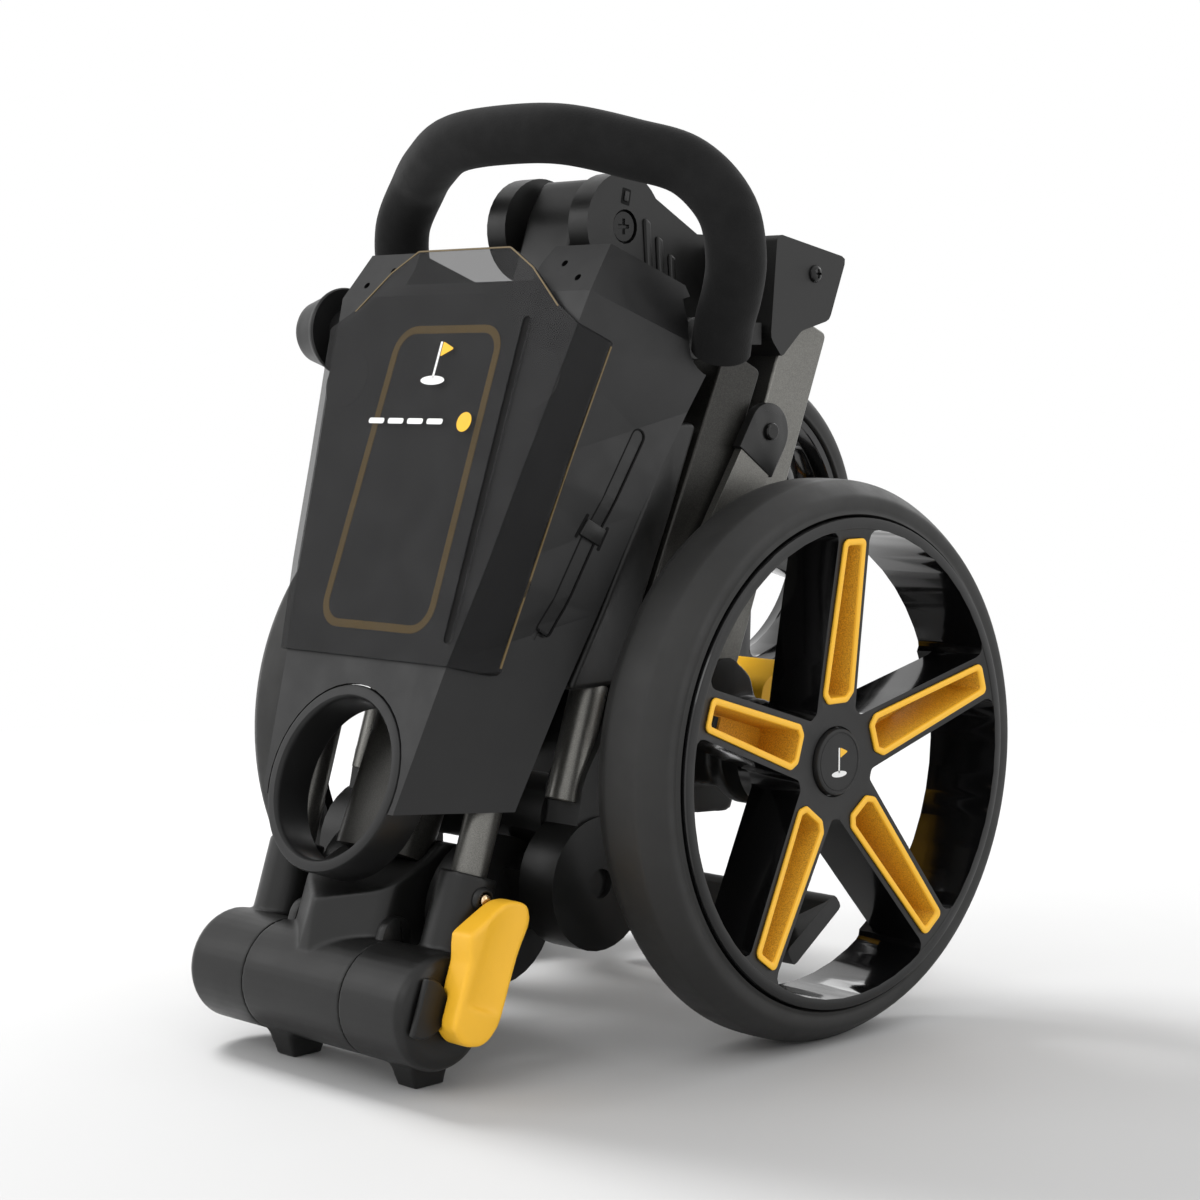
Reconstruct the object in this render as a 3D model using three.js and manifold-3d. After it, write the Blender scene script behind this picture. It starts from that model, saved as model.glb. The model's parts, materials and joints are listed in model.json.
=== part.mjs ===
// Compact folded three-wheel golf trolley. Millimetres, +Z up, +X to the trolley's right side (seen from
// the lid side, which faces -Y). The origin is the middle of its footprint, on the ground.
import * as THREE from "three";
import { mergeVertices } from "three/addons/utils/BufferGeometryUtils.js";
import Module from "manifold-3d";

const wasm = await Module();
wasm.setup();

// ---------------------------------------------------------------- driving dimensions
const FOOTPRINT_MIDDLE_Y = 105.35; // the side-view sizes below are laid out this far ahead of the origin
const GAP = 0.4; // clearance between pieces that touch

const REAR_AXLE = { y: 135.7, z: 145 };
const REAR_WHEEL = { radius: 145, bead: 126.4, window: 119.8, inner: 112, outer: 158, face: 161 };
const FRONT_AXLE = { y: 219, z: 252 };
const FRONT_WHEEL = { radius: 95, bead: 79.4, window: 74, halfWidth: 20 };
const SPOKES = 5;
const SPOKE_DISH = 12; // how far the hub sits inside the rim's outer face

const BARREL = { y: -74.7, z: 38.7, radius: 28.6, seam: 38, end: 84 };
const LEAN = 19.9; // degrees that the console and spine lean back
const TUBE_X = 66; // handle tubes, either side of the middle, at the barrel
const TUBE_RADIUS = 9;
const SPINE = { halfWidth: 27, depth: 31 };
const TOP_HINGE = { y: 94.3, z: 419.8, discRadius: 28, discInner: 24, discOuter: 38 };

const CONSOLE_FRONT = -35.2; // depth of the front plane, ahead of the barrel axis
const CONSOLE_WALL = 2.4;
const RING = { height: 98.7, outer: 48, inner: 41, depth: 22 };
const GRIP_RADIUS = 15.6;
const GRIP_PIVOT = { x: 101, y: 100, z: 361 };
const RAIL = { inner: 62, outer: 84 };
const FORK_PIVOT = { y: 195, z: 393 };

// ---------------------------------------------------------------- helpers
const radians = THREE.MathUtils.degToRad;

function solid(geometry) {
  const plain = geometry.index ? geometry.toNonIndexed() : geometry.clone();
  plain.deleteAttribute("normal");
  plain.deleteAttribute("uv");
  const merged = mergeVertices(plain, 1e-4);
  return new wasm.Manifold(
    new wasm.Mesh({
      numProp: 3,
      vertProperties: new Float32Array(merged.attributes.position.array),
      triVerts: new Uint32Array(merged.index.array),
    }),
  );
}

function toGeometry(manifold) {
  const mesh = manifold.getMesh();
  const count = mesh.vertProperties.length / mesh.numProp;
  const position = new Float32Array(count * 3);
  for (let i = 0; i < count; i++) {
    position.set(mesh.vertProperties.subarray(i * mesh.numProp, i * mesh.numProp + 3), i * 3);
  }
  const geometry = new THREE.BufferGeometry();
  geometry.setAttribute("position", new THREE.BufferAttribute(position, 3));
  geometry.setIndex(new THREE.BufferAttribute(new Uint32Array(mesh.triVerts), 1));
  geometry.computeVertexNormals();
  return geometry;
}

const join = (...pieces) => toGeometry(pieces.map(solid).reduce((a, b) => a.add(b)));
const cut = (body, ...tools) => toGeometry(tools.map(solid).reduce((a, b) => a.subtract(b), solid(body)));
const common = (a, b) => toGeometry(solid(a).intersect(solid(b)));

// An outline with its corners rounded; corners are [a, b] or [a, b, radius].
function rounded(points, radius = 0) {
  const shape = new THREE.Shape();
  const corners = points.map(([a, b, r]) => ({ at: new THREE.Vector2(a, b), r: r ?? radius }));
  corners.forEach((corner, i) => {
    const before = corners[(i + corners.length - 1) % corners.length].at;
    const after = corners[(i + 1) % corners.length].at;
    const toBefore = before.clone().sub(corner.at);
    const toAfter = after.clone().sub(corner.at);
    const reach = Math.min(corner.r, toBefore.length() * 0.45, toAfter.length() * 0.45);
    const start = corner.at.clone().addScaledVector(toBefore.normalize(), reach);
    const end = corner.at.clone().addScaledVector(toAfter.normalize(), reach);
    if (i === 0) shape.moveTo(start.x, start.y);
    else shape.lineTo(start.x, start.y);
    if (reach > 0) shape.quadraticCurveTo(corner.at.x, corner.at.y, end.x, end.y);
  });
  shape.closePath();
  return shape;
}

// A side-view outline, in (y, z), made solid from x0 to x1.
function sideSlab(shape, x0, x1, curveSegments = 4) {
  const geometry = new THREE.ExtrudeGeometry(shape, { depth: x1 - x0, bevelEnabled: false, curveSegments });
  const turn = new THREE.Matrix4().makeBasis(
    new THREE.Vector3(0, 1, 0),
    new THREE.Vector3(0, 0, 1),
    new THREE.Vector3(1, 0, 0),
  );
  return geometry.applyMatrix4(turn).translate(x0, 0, 0);
}

// A front-view outline, in (x, z), made solid from y0 to y1.
function frontSlab(shape, y0, y1, curveSegments = 4) {
  const geometry = new THREE.ExtrudeGeometry(shape, { depth: y1 - y0, bevelEnabled: false, curveSegments });
  return geometry.rotateX(Math.PI / 2).translate(0, y1, 0);
}

function rodX(radius, x0, x1, y, z, sides = 24) {
  return new THREE.CylinderGeometry(radius, radius, x1 - x0, sides)
    .rotateZ(-Math.PI / 2)
    .rotateX(Math.PI / sides)
    .translate((x0 + x1) / 2, y, z);
}

function rod(from, to, radius, sides = 16, farRadius = radius) {
  const a = new THREE.Vector3(...from);
  const b = new THREE.Vector3(...to);
  const along = b.clone().sub(a);
  const geometry = new THREE.CylinderGeometry(farRadius, radius, along.length(), sides);
  const up = new THREE.Vector3(0, 1, 0);
  const turn = new THREE.Quaternion().setFromUnitVectors(up, along.clone().normalize());
  return geometry.applyQuaternion(turn).translate(...a.add(b).multiplyScalar(0.5));
}

function box(x0, x1, y0, y1, z0, z1) {
  const geometry = new THREE.BoxGeometry(x1 - x0, y1 - y0, z1 - z0);
  return geometry.translate((x0 + x1) / 2, (y0 + y1) / 2, (z0 + z1) / 2);
}

// A flat bar seen from the side: from and to are (y, z) ends of its middle line.
function bar(from, to, depth, x0, x1, radius = 0) {
  const a = new THREE.Vector2(...from);
  const b = new THREE.Vector2(...to);
  const along = b.clone().sub(a).normalize();
  const side = new THREE.Vector2(-along.y, along.x).multiplyScalar(depth / 2);
  const corners = [a.clone().add(side), a.clone().sub(side), b.clone().sub(side), b.clone().add(side)];
  return sideSlab(rounded(corners.map((c) => [c.x, c.y]), radius), x0, x1);
}

// A solid through a stack of four-cornered sections: half widths front and rear at depths near and far.
function loft(sections) {
  const position = [];
  for (const s of sections) {
    position.push(-s.front, s.near, s.height, s.front, s.near, s.height);
    position.push(s.rear, s.far, s.height, -s.rear, s.far, s.height);
  }
  const index = [];
  for (let k = 0; k + 1 < sections.length; k++) {
    for (let i = 0; i < 4; i++) {
      const a = k * 4 + i;
      const b = k * 4 + ((i + 1) % 4);
      index.push(a, b, b + 4, a, b + 4, a + 4);
    }
  }
  const top = (sections.length - 1) * 4;
  index.push(0, 2, 1, 0, 3, 2, top, top + 1, top + 2, top, top + 2, top + 3);
  const geometry = new THREE.BufferGeometry();
  geometry.setAttribute("position", new THREE.Float32BufferAttribute(position, 3));
  geometry.setIndex(index);
  return geometry;
}

const finish = (color, roughness, metalness = 0) => ({ color, roughness, metalness });
const SATIN = finish(0x2b2b2c, 0.55);
const CASTING = finish(0x242424, 0.5);
const GLOSS = finish(0x0c0c0d, 0.12);
const FOAM = finish(0x222222, 0.95);
const TYRE = finish(0x2e2e2e, 0.85);
const TUBE = finish(0x6a6a68, 0.35, 0.9);
const DARK_TUBE = finish(0x3a3a39, 0.4, 0.7);
const YELLOW = finish(0xf2b11c, 0.5);
const STEEL = finish(0x909090, 0.3, 1);
const BRASS = finish(0xd8b48a, 0.3, 1);
const SMOKE = finish(0x303030, 0.15);

function part(parent, name, geometry, look) {
  const mesh = new THREE.Mesh(geometry, new THREE.MeshStandardMaterial(look));
  mesh.name = name;
  parent.add(mesh);
  return mesh;
}

const SIDES = [
  { name: "left", sign: -1 },
  { name: "right", sign: 1 },
];
const span = (sign, near, far) => (sign > 0 ? [near, far] : [-far, -near]);

const trolley = new THREE.Group();
const model = new THREE.Group(); // side-view sizes are laid out here, then centred on the footprint
model.position.y = -FOOTPRINT_MIDDLE_Y;
trolley.add(model);

// ---------------------------------------------------------------- rear wheels
function lathe(profile, segments) {
  const points = profile.map(([r, x]) => new THREE.Vector2(r, x));
  points.push(points[0].clone());
  return new THREE.LatheGeometry(points, segments).rotateZ(-Math.PI / 2);
}

// A spoke-shaped outline lying on +Z, in (y, z), from one radius to another.
const spokeOutline = (r0, half0, r1, half1, corner) =>
  rounded([[-half0, r0], [half0, r0], [half1, r1], [-half1, r1]], corner);

// Shears a piece that lies along +Z so that its hub end sits deeper than its rim end.
function dished(geometry) {
  const position = geometry.attributes.position;
  for (let i = 0; i < position.count; i++) {
    const inwards = Math.min((REAR_WHEEL.window - position.getZ(i)) / (REAR_WHEEL.window - 28), 1.1);
    position.setX(i, position.getX(i) - SPOKE_DISH * inwards);
  }
  return geometry;
}

const WHEEL_SEGMENTS = 44;
const BRAKE = { notches: 20, radius: 22, notch: 2.6, pin: 2.2 }; // ring of notches in each rear hub
const TRAY = { r0: 30, r1: 115, half0: 12, half1: 8.6, flange: 3, depth: 26, lip: 1.2 };

function rearTyre() {
  const { radius: R, bead, inner, outer } = REAR_WHEEL;
  return lathe(
    [
      [bead, inner + 5],
      [bead + 8, inner],
      [R - 5, inner + 3.5],
      [R - 0.6, inner + 13],
      [R, (inner + outer) / 2],
      [R - 0.6, outer - 13],
      [R - 5, outer - 3.5],
      [bead + 8, outer + 0.3],
      [bead, outer],
    ],
    WHEEL_SEGMENTS,
  );
}

function rearRim() {
  const { bead, window, inner, face } = REAR_WHEEL;
  const barrel = lathe(
    [
      [bead - GAP, inner + 5],
      [bead - GAP, face - 1],
      [bead - 2, face],
      [window, face],
      [window - 2.6, face - 30],
      [window - 3, inner + 5],
    ],
    WHEEL_SEGMENTS,
  );
  let rim = solid(barrel).add(solid(rodX(28, 104, face - 0.5 - SPOKE_DISH, 0, 0, 30)));
  const spoke = dished(sideSlab(spokeOutline(18, 16, window + 1, 12, 0), inner + 14, face - 0.5, 1));
  const pocket = dished(
    sideSlab(
      spokeOutline(TRAY.r0 + 1.2, TRAY.half0 - 1.2, TRAY.r1 - 1.2, TRAY.half1 - 1.2, 2.4),
      inner - 5,
      face + 5,
      1,
    ),
  );
  for (let i = 0; i < SPOKES; i++) {
    const turn = radians((i * 360) / SPOKES);
    rim = rim.add(solid(spoke.clone().rotateX(turn)));
  }
  for (let i = 0; i < SPOKES; i++) {
    const turn = radians((i * 360) / SPOKES);
    rim = rim.subtract(solid(pocket.clone().rotateX(turn)));
  }
  for (let i = 0; i < BRAKE.notches; i++) {
    const notch = rodX(BRAKE.notch, 100, 112, 0, BRAKE.radius, 8);
    rim = rim.subtract(solid(notch.rotateX(radians((i * 360) / BRAKE.notches))));
  }
  rim = rim.subtract(solid(rodX(6.4, 90, 170, 0, 0, 20)));
  return toGeometry(rim.subtract(solid(rodX(18, face - SPOKE_DISH - 3, face + 4, 0, 0, 28))));
}

function trayInsert() {
  const { r0, r1, half0, half1, flange, depth, lip } = TRAY;
  const { face } = REAR_WHEEL;
  const flangeBack = face - 0.5 + GAP;
  const top = sideSlab(spokeOutline(r0, half0, r1, half1, 3), flangeBack, flangeBack + lip, 1);
  const sleeveOutline = spokeOutline(r0 + 1.6, half0 - 1.6, r1 - 1.6, half1 - 1.6, 2.2);
  const sleeve = sideSlab(sleeveOutline, face - depth, face, 1);
  const hollow = sideSlab(
    spokeOutline(r0 + flange, half0 - flange, r1 - flange, half1 - flange, 1.6),
    face - depth + 1.5,
    face + 5,
    1,
  );
  const windowOutline = spokeOutline(r0 + 40, half0 - 6, r1 - 5, half1 - 4, 1);
  const window = sideSlab(windowOutline, face - depth - 5, face, 1);
  return cut(dished(join(top, sleeve)), dished(hollow), dished(window));
}

for (const { name, sign } of SIDES) {
  const wheel = new THREE.Group();
  wheel.position.set(0, REAR_AXLE.y, REAR_AXLE.z);
  if (sign < 0) wheel.rotation.z = Math.PI;
  model.add(wheel);
  part(wheel, `rear_tyre_${name}`, rearTyre(), TYRE);
  part(wheel, `rear_rim_${name}`, rearRim(), GLOSS);
  const capFace = REAR_WHEEL.face - SPOKE_DISH;
  const cap = rodX(17.4, capFace - 2.6, capFace + 2, 0, 0, 28);
  part(wheel, `hub_cap_${name}`, cap, SATIN);
  for (let i = 0; i < SPOKES; i++) {
    const insert = part(wheel, `spoke_insert_${name}_${i + 1}`, trayInsert(), YELLOW);
    insert.rotation.x = radians((i * 360) / SPOKES);
  }
}

// ---------------------------------------------------------------- front wheel, folded up behind the frame
const frontWheel = new THREE.Group();
frontWheel.position.set(0, FRONT_AXLE.y, FRONT_AXLE.z);
model.add(frontWheel);
{
  const { radius: R, bead, window, halfWidth: W } = FRONT_WHEEL;
  const tyre = lathe(
    [
      [bead, -W + 4],
      [bead + 5, -W],
      [R - 4, -W + 3],
      [R, -W + 13],
      [R, W - 13],
      [R - 4, W - 3],
      [bead + 5, W],
      [bead, W - 4],
    ],
    36,
  );
  part(frontWheel, "front_tyre", tyre, TYRE);
  const seat = bead - GAP;
  const profile = [[seat, -W + 3], [seat, W - 3], [window, W - 3], [window - 2, 0], [window, -W + 3]];
  let rim = solid(lathe(profile, 36));
  rim = rim.add(solid(rodX(17, -W + 2, W - 2, 0, 0, 24)));
  for (let i = 0; i < SPOKES; i++) {
    const spoke = sideSlab(spokeOutline(10, 10, window + 1, 7, 0), -W + 8, W - 5, 1);
    rim = rim.add(solid(spoke.rotateX(radians(36 + (i * 360) / SPOKES))));
  }
  part(frontWheel, "front_rim", toGeometry(rim.subtract(solid(rodX(5.4, -30, 30, 0, 0, 16)))), GLOSS);
}

// ---------------------------------------------------------------- front fork
part(model, "front_axle", rodX(5, -36, 36, FRONT_AXLE.y, FRONT_AXLE.z, 16), STEEL);
{
  const { y, z } = FORK_PIVOT;
  let fork = solid(rodX(14, -34, 34, y, z, 24));
  for (const { sign } of SIDES) {
    const arm = bar([y, z], [FRONT_AXLE.y, FRONT_AXLE.z], 22, ...span(sign, 24, 31));
    fork = fork.add(solid(arm)).add(solid(rodX(11, ...span(sign, 24, 31), FRONT_AXLE.y, FRONT_AXLE.z, 20)));
  }
  fork = fork.subtract(solid(rodX(6.4, -50, 50, y, z, 16)));
  fork = fork.subtract(solid(rodX(5.4, -40, 40, FRONT_AXLE.y, FRONT_AXLE.z, 16)));
  part(model, "front_fork", toGeometry(fork), CASTING);
}
part(model, "fork_pivot_pin", rodX(6, -58, 58, FORK_PIVOT.y, FORK_PIVOT.z, 16), STEEL);

// ---------------------------------------------------------------- chassis
const RAIL_TOP = [188.5, 371];
const RAIL_FOOT = [107, 172];
{
  const { y, z } = REAR_AXLE;
  const outline = rounded(
    [
      [y - 22, z - 35], [y + 20, z - 38], [y + 26, z + 8],
      [y + 14, z + 30], [y - 10, z + 32], [y - 24, z + 12],
    ],
    5,
  );
  let housing = solid(sideSlab(outline, -60, 60, 2)).add(solid(rodX(17, -94, 94, y, z, 24)));
  for (const { sign } of SIDES) {
    const shoe = rounded(
      [[84, 160], [90, 132], [138, 124], [152, 150], [142, 184], [126, 196], [88, 190]],
      4,
    );
    const railRoom = bar(RAIL_TOP, [RAIL_FOOT[0] - 1, RAIL_FOOT[1] - 2], 34, ...span(sign, 61.5, 84.5));
    housing = housing.add(solid(sideSlab(shoe, ...span(sign, 59, 85.2), 2))).subtract(solid(railRoom));
    housing = housing.add(solid(rodX(28, ...span(sign, 86, 94), y, z, 30)));
    housing = housing.subtract(solid(rodX(BRAKE.notch, ...span(sign, 80, 110), y, z + BRAKE.radius, 10)));
  }
  housing = housing.subtract(solid(rodX(6.4, -120, 120, y, z, 20)));
  part(model, "axle_housing", toGeometry(housing), SATIN);
}
part(model, "axle_shaft", rodX(6, -145, 145, REAR_AXLE.y, REAR_AXLE.z, 20), STEEL);

for (const { name, sign } of SIDES) {
  const x = span(sign, RAIL.inner, RAIL.outer);
  part(model, `rear_rail_${name}`, bar(RAIL_TOP, RAIL_FOOT, 33, ...x, 4), TUBE);
}

// bracket plates that carry the rails' tops, tied together by the fork's pivot lugs
{
  const plate = rounded([
    [158, 417, 4], [215, 406, 4], [201, 372, 3], [178, 366, 2], [162, 352, 2], [153, 362, 3],
  ]);
  let bracket = solid(box(-61.6, 61.6, 160, 176, 396, 412));
  for (const { sign } of SIDES) {
    bracket = bracket.add(solid(sideSlab(plate, ...span(sign, 58, 88), 2)));
    const lug = rounded([[160, 412], [176, 412], [213, 400, 8], [208, 378, 12], [184, 380, 8], [165, 396]]);
    bracket = bracket.add(solid(sideSlab(lug, ...span(sign, 36, 60), 3)));
    const railSides = span(sign, RAIL.inner - 0.5, RAIL.outer + 0.5);
    const railRoom = bar([RAIL_TOP[0] + 0.2, RAIL_TOP[1] + 0.5], RAIL_FOOT, 34, ...railSides);
    bracket = bracket.subtract(solid(railRoom));
  }
  bracket = bracket.subtract(solid(rodX(6.4, -59, 59, FORK_PIVOT.y, FORK_PIVOT.z, 16)));
  part(model, "top_bracket", toGeometry(bracket), SATIN);
}

// upper knuckle: two hinge discs with a body behind them that reaches back to the brackets
{
  const { y, z, discRadius: R, discInner, discOuter } = TOP_HINGE;
  const cheek = rounded([
    [y, z + R], [y + 30, z + 12], [157.2, 414, 3], [150, 352, 6], [104, 338, 8], [y - 8, z - 25],
  ]);
  let knuckle = solid(box(-discOuter, discOuter, y + 34, 157.2, 352, 418));
  for (const { sign } of SIDES) {
    knuckle = knuckle.add(solid(rodX(R, ...span(sign, discInner, discOuter), y, z, 36)));
    knuckle = knuckle.add(solid(sideSlab(cheek, ...span(sign, discInner, discOuter), 3)));
    knuckle = knuckle.add(solid(box(...span(sign, discInner, 84), 118, 150, 358.5, 370)));
    knuckle = knuckle.subtract(solid(rodX(9, ...span(sign, discOuter - 4, discOuter + 1), y, z, 20)));
  }
  part(model, "upper_knuckle", toGeometry(knuckle.subtract(solid(rodX(6.4, -60, 60, y, z, 16)))), CASTING);
}
{
  const { y, z, discOuter } = TOP_HINGE;
  let pin = solid(rodX(6, -discOuter + 3.6, discOuter - 3.6, y, z, 16));
  for (const { sign } of SIDES) {
    pin = pin.add(solid(rodX(8, ...span(sign, discOuter - 3.7, discOuter - 1), y, z, 20)));
    const recess = span(sign, discOuter - 2.2, discOuter);
    pin = pin.subtract(solid(box(...recess, y - 4, y + 4, z - 0.9, z + 0.9)));
    pin = pin.subtract(solid(box(...recess, y - 0.9, y + 0.9, z - 4, z + 4)));
  }
  part(model, "top_hinge_pin", toGeometry(pin), STEEL);
}

// front legs: dark rails ahead of the rear ones, each ending in a moulded foot casting
const LEG_TOP = [134, 351];
const LEG_FOOT = [38, 138];
const LEG_SOCKET = rounded([[14, 142, 6], [31, 167, 4], [44, 195, 5], [84, 183, 6], [56, 92], [4, 94]]);
const OUTER_DISC = { y: 24, z: 89, radius: 34 };
const INNER_DISC = { y: -8, z: 74, radius: 38 };
const TIE = { y: 27, z: 120, radius: 20 }; // stub that the right casting reaches towards the left one
for (const { name, sign } of SIDES) {
  part(model, `front_leg_${name}`, bar(LEG_TOP, LEG_FOOT, 30, ...span(sign, 64, 86), 4), DARK_TUBE);
  let casting = solid(sideSlab(LEG_SOCKET, ...span(sign, 62, 88), 3));
  for (const [disc, near, far] of [[OUTER_DISC, 66, 90], [INNER_DISC, 36, 50]]) {
    casting = casting.add(solid(rodX(disc.radius, ...span(sign, near, far), disc.y, disc.z, 32)));
  }
  casting = casting.add(solid(bar([0, 80], [OUTER_DISC.y, OUTER_DISC.z], 34, ...span(sign, 44, 68))));
  if (sign > 0) casting = casting.add(solid(rodX(TIE.radius, -34, 64, TIE.y, TIE.z, 28)));
  const legRoom = bar(LEG_TOP, [LEG_FOOT[0] - 1, LEG_FOOT[1] - 2], 30.8, ...span(sign, 63.6, 86.4));
  casting = casting.subtract(solid(legRoom));
  casting = casting.subtract(solid(rodX(7.6, ...span(sign, 86, 95), OUTER_DISC.y, OUTER_DISC.z, 16)));
  part(model, `leg_casting_${name}`, toGeometry(casting), CASTING);
}

// stays between the rear rails and the legs
const STAY_TOP = { y: 146, z: 313 };
const STAY_FOOT = { y: 92, z: 232 };
for (const { name, sign } of SIDES) {
  const x = span(sign, 88.4, 93);
  let stay = solid(rodX(15, ...x, STAY_TOP.y, STAY_TOP.z, 24));
  stay = stay.add(solid(bar([STAY_TOP.y, STAY_TOP.z], [STAY_FOOT.y, STAY_FOOT.z], 26, ...x)));
  stay = stay.add(solid(rodX(13, ...x, STAY_FOOT.y, STAY_FOOT.z, 20)));
  part(model, `side_stay_${name}`, toGeometry(stay), TUBE);
  const head = rodX(4.7, ...span(sign, 93.4, 96.6), STAY_TOP.y, STAY_TOP.z, 14);
  part(model, `stay_screw_${name}`, head, GLOSS);
}

// bag cradle, low behind the axle
{
  let cradle = solid(sideSlab(rounded([[196, 16], [237, 44], [231, 52], [190, 26]], 3), -70, 70, 2));
  for (const { sign } of SIDES) {
    cradle = cradle.add(solid(bar([148, 104], [205, 34], 12, ...span(sign, 46, 58))));
  }
  cradle = cradle.subtract(solid(rod([0, 150, 150], [0, 250, 90], 84, 40)));
  part(model, "bag_cradle", toGeometry(cradle), CASTING);
}

// foot brake: a pedal that drives a locking pin into each rear hub
{
  const outline = rounded(
    [[166, 144], [178, 146], [186, 168, 3], [204, 178, 4], [198, 187, 4], [174, 176, 5]],
    2,
  );
  part(model, "brake_pedal", sideSlab(outline, 26, 66, 3), YELLOW);
}
for (const { name, sign } of SIDES) {
  const pin = rodX(BRAKE.pin, ...span(sign, 85, 101), REAR_AXLE.y, REAR_AXLE.z + BRAKE.radius, 10);
  part(model, `brake_pin_${name}`, pin, STEEL);
}

// ---------------------------------------------------------------- leaning frame of spine and handle
const leaning = new THREE.Group();
leaning.position.set(0, BARREL.y, BARREL.z);
leaning.rotation.x = -radians(LEAN);
model.add(leaning);

// a point of the upright frame, in the leaning one: [depth, height]
function lean(y, z) {
  const s = Math.sin(radians(LEAN));
  const c = Math.cos(radians(LEAN));
  return [(y - BARREL.y) * c - (z - BARREL.z) * s, (y - BARREL.y) * s + (z - BARREL.z) * c];
}

// an upright box turned into the leaning frame
function uprightBox(...extent) {
  return box(...extent).translate(0, -BARREL.y, -BARREL.z).rotateX(radians(LEAN));
}

// a foot rib under the barrel, tapered towards the ground
function foot(x, y) {
  const sections = [
    { height: 0, front: 7, rear: 7, near: -9, far: 9 },
    { height: 20, front: 10, rear: 10, near: -16, far: 13 },
  ];
  return loft(sections).translate(x, y - BARREL.y, -BARREL.z).rotateX(radians(LEAN));
}

const eye = lean(TOP_HINGE.y, TOP_HINGE.z);
const SPINE_FOOT = [9, 70];
const SPINE_TOP = [eye[0] - 1.5, 375];
{
  const { halfWidth, depth } = SPINE;
  const outline = rounded(
    [[-halfWidth, -depth / 2], [halfWidth, -depth / 2], [halfWidth, depth / 2], [-halfWidth, depth / 2]],
    13,
  );
  const tube = new THREE.ExtrudeGeometry(outline, { depth: 1, bevelEnabled: false, curveSegments: 4 });
  const length = Math.hypot(SPINE_TOP[0] - SPINE_FOOT[0], SPINE_TOP[1] - SPINE_FOOT[1]);
  const tilt = Math.atan2(SPINE_TOP[0] - SPINE_FOOT[0], SPINE_TOP[1] - SPINE_FOOT[1]);
  tube.scale(1, 1, length).rotateX(-tilt).translate(0, ...SPINE_FOOT);
  part(leaning, "spine_tube", tube, DARK_TUBE);
}
{
  const [w, v] = eye;
  const neck = rounded([
    [w - 17, 377], [w + 15, 377], [w + 20, v], [w + 14, v + 23, 8], [w - 13, v + 25, 8], [w - 18, v, 6],
  ]);
  const head = solid(sideSlab(neck, -19, 19)).subtract(solid(rodX(6.4, -40, 40, w, v, 16)));
  part(leaning, "spine_eye", toGeometry(head), CASTING);
}
{
  const boss = rounded([
    [-25, 4], [-27, 40, 3], [-12.5, 50, 2], [9, 70, 3], [17, 82, 3], [37, 84, 3], [34, 4],
  ]);
  let barrel = solid(rodX(BARREL.radius, -BARREL.seam + GAP, BARREL.seam - GAP, 0, 0, 40));
  const bow = rounded([[0, -28, 5], [33, -8, 5], [33, 45], [-33, 45], [-33, -8, 5]]); // seen from above
  const upwards = new THREE.ExtrudeGeometry(bow, { depth: 100, bevelEnabled: false, curveSegments: 3 });
  barrel = barrel.add(solid(common(sideSlab(boss, -35, 35), upwards)));
  barrel = barrel.add(solid(foot(-27, -75)));
  const bed = solid(
    new THREE.BoxGeometry(SPINE.halfWidth * 2 + 2 * GAP, SPINE.depth + 2, 40).translate(
      0,
      SPINE_FOOT[0] + 0.5,
      SPINE_FOOT[1] + 19,
    ),
  );
  barrel = barrel.subtract(bed);
  barrel = barrel.subtract(solid(rodX(8.4, -60, 60, 0, 0, 20)));
  part(leaning, "barrel_middle", toGeometry(barrel), CASTING);
}
part(leaning, "barrel_pin", rodX(8, -70, 70, 0, 0, 20), STEEL);

// handle tubes run from the barrel arms up inside the console
const TUBE_SPLAY = 0.02;
const tubeAt = (sign, height) => {
  const above = height - 64;
  return [sign * (TUBE_X + TUBE_SPLAY * above), 8.5 - 0.03 * above, height];
};
const BUTTON = [tubeAt(1, 57)[1], 57];
for (const { name, sign } of SIDES) {
  const profile = [
    [0, 0],
    [BARREL.radius, 0],
    [BARREL.radius, BARREL.end - BARREL.seam - 5],
    [BARREL.radius - 2, BARREL.end - BARREL.seam - 1.4],
    [BARREL.radius - 6, BARREL.end - BARREL.seam],
    [0, BARREL.end - BARREL.seam],
  ].map(([r, h]) => new THREE.Vector2(r, h));
  const drum = new THREE.LatheGeometry(profile, 40).rotateZ((-sign * Math.PI) / 2);
  let arm = solid(drum.translate(sign * BARREL.seam, 0, 0));
  arm = arm.add(solid(rod(tubeAt(sign, 4), tubeAt(sign, 68), 15.5, 28, 14.5)));
  if (sign > 0) arm = arm.add(solid(foot(61, -71)));
  arm = arm.subtract(solid(rod(tubeAt(sign, 40), tubeAt(sign, 90), TUBE_RADIUS + GAP, 20)));
  arm = arm.subtract(solid(rodX(8.4, ...span(sign, 30, 71), 0, 0, 20)));
  if (sign > 0) arm = arm.subtract(solid(rodX(3.6, 77, 90, ...BUTTON, 12)));
  part(leaning, `barrel_arm_${name}`, toGeometry(arm), CASTING);
  const tube = rod(tubeAt(sign, 41), tubeAt(sign, 318), TUBE_RADIUS, 20);
  part(leaning, `handle_tube_${name}`, tube, TUBE);
}
part(leaning, "latch_button", rodX(3.2, 79.5, 83.5, ...BUTTON, 12), BRASS);

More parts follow.
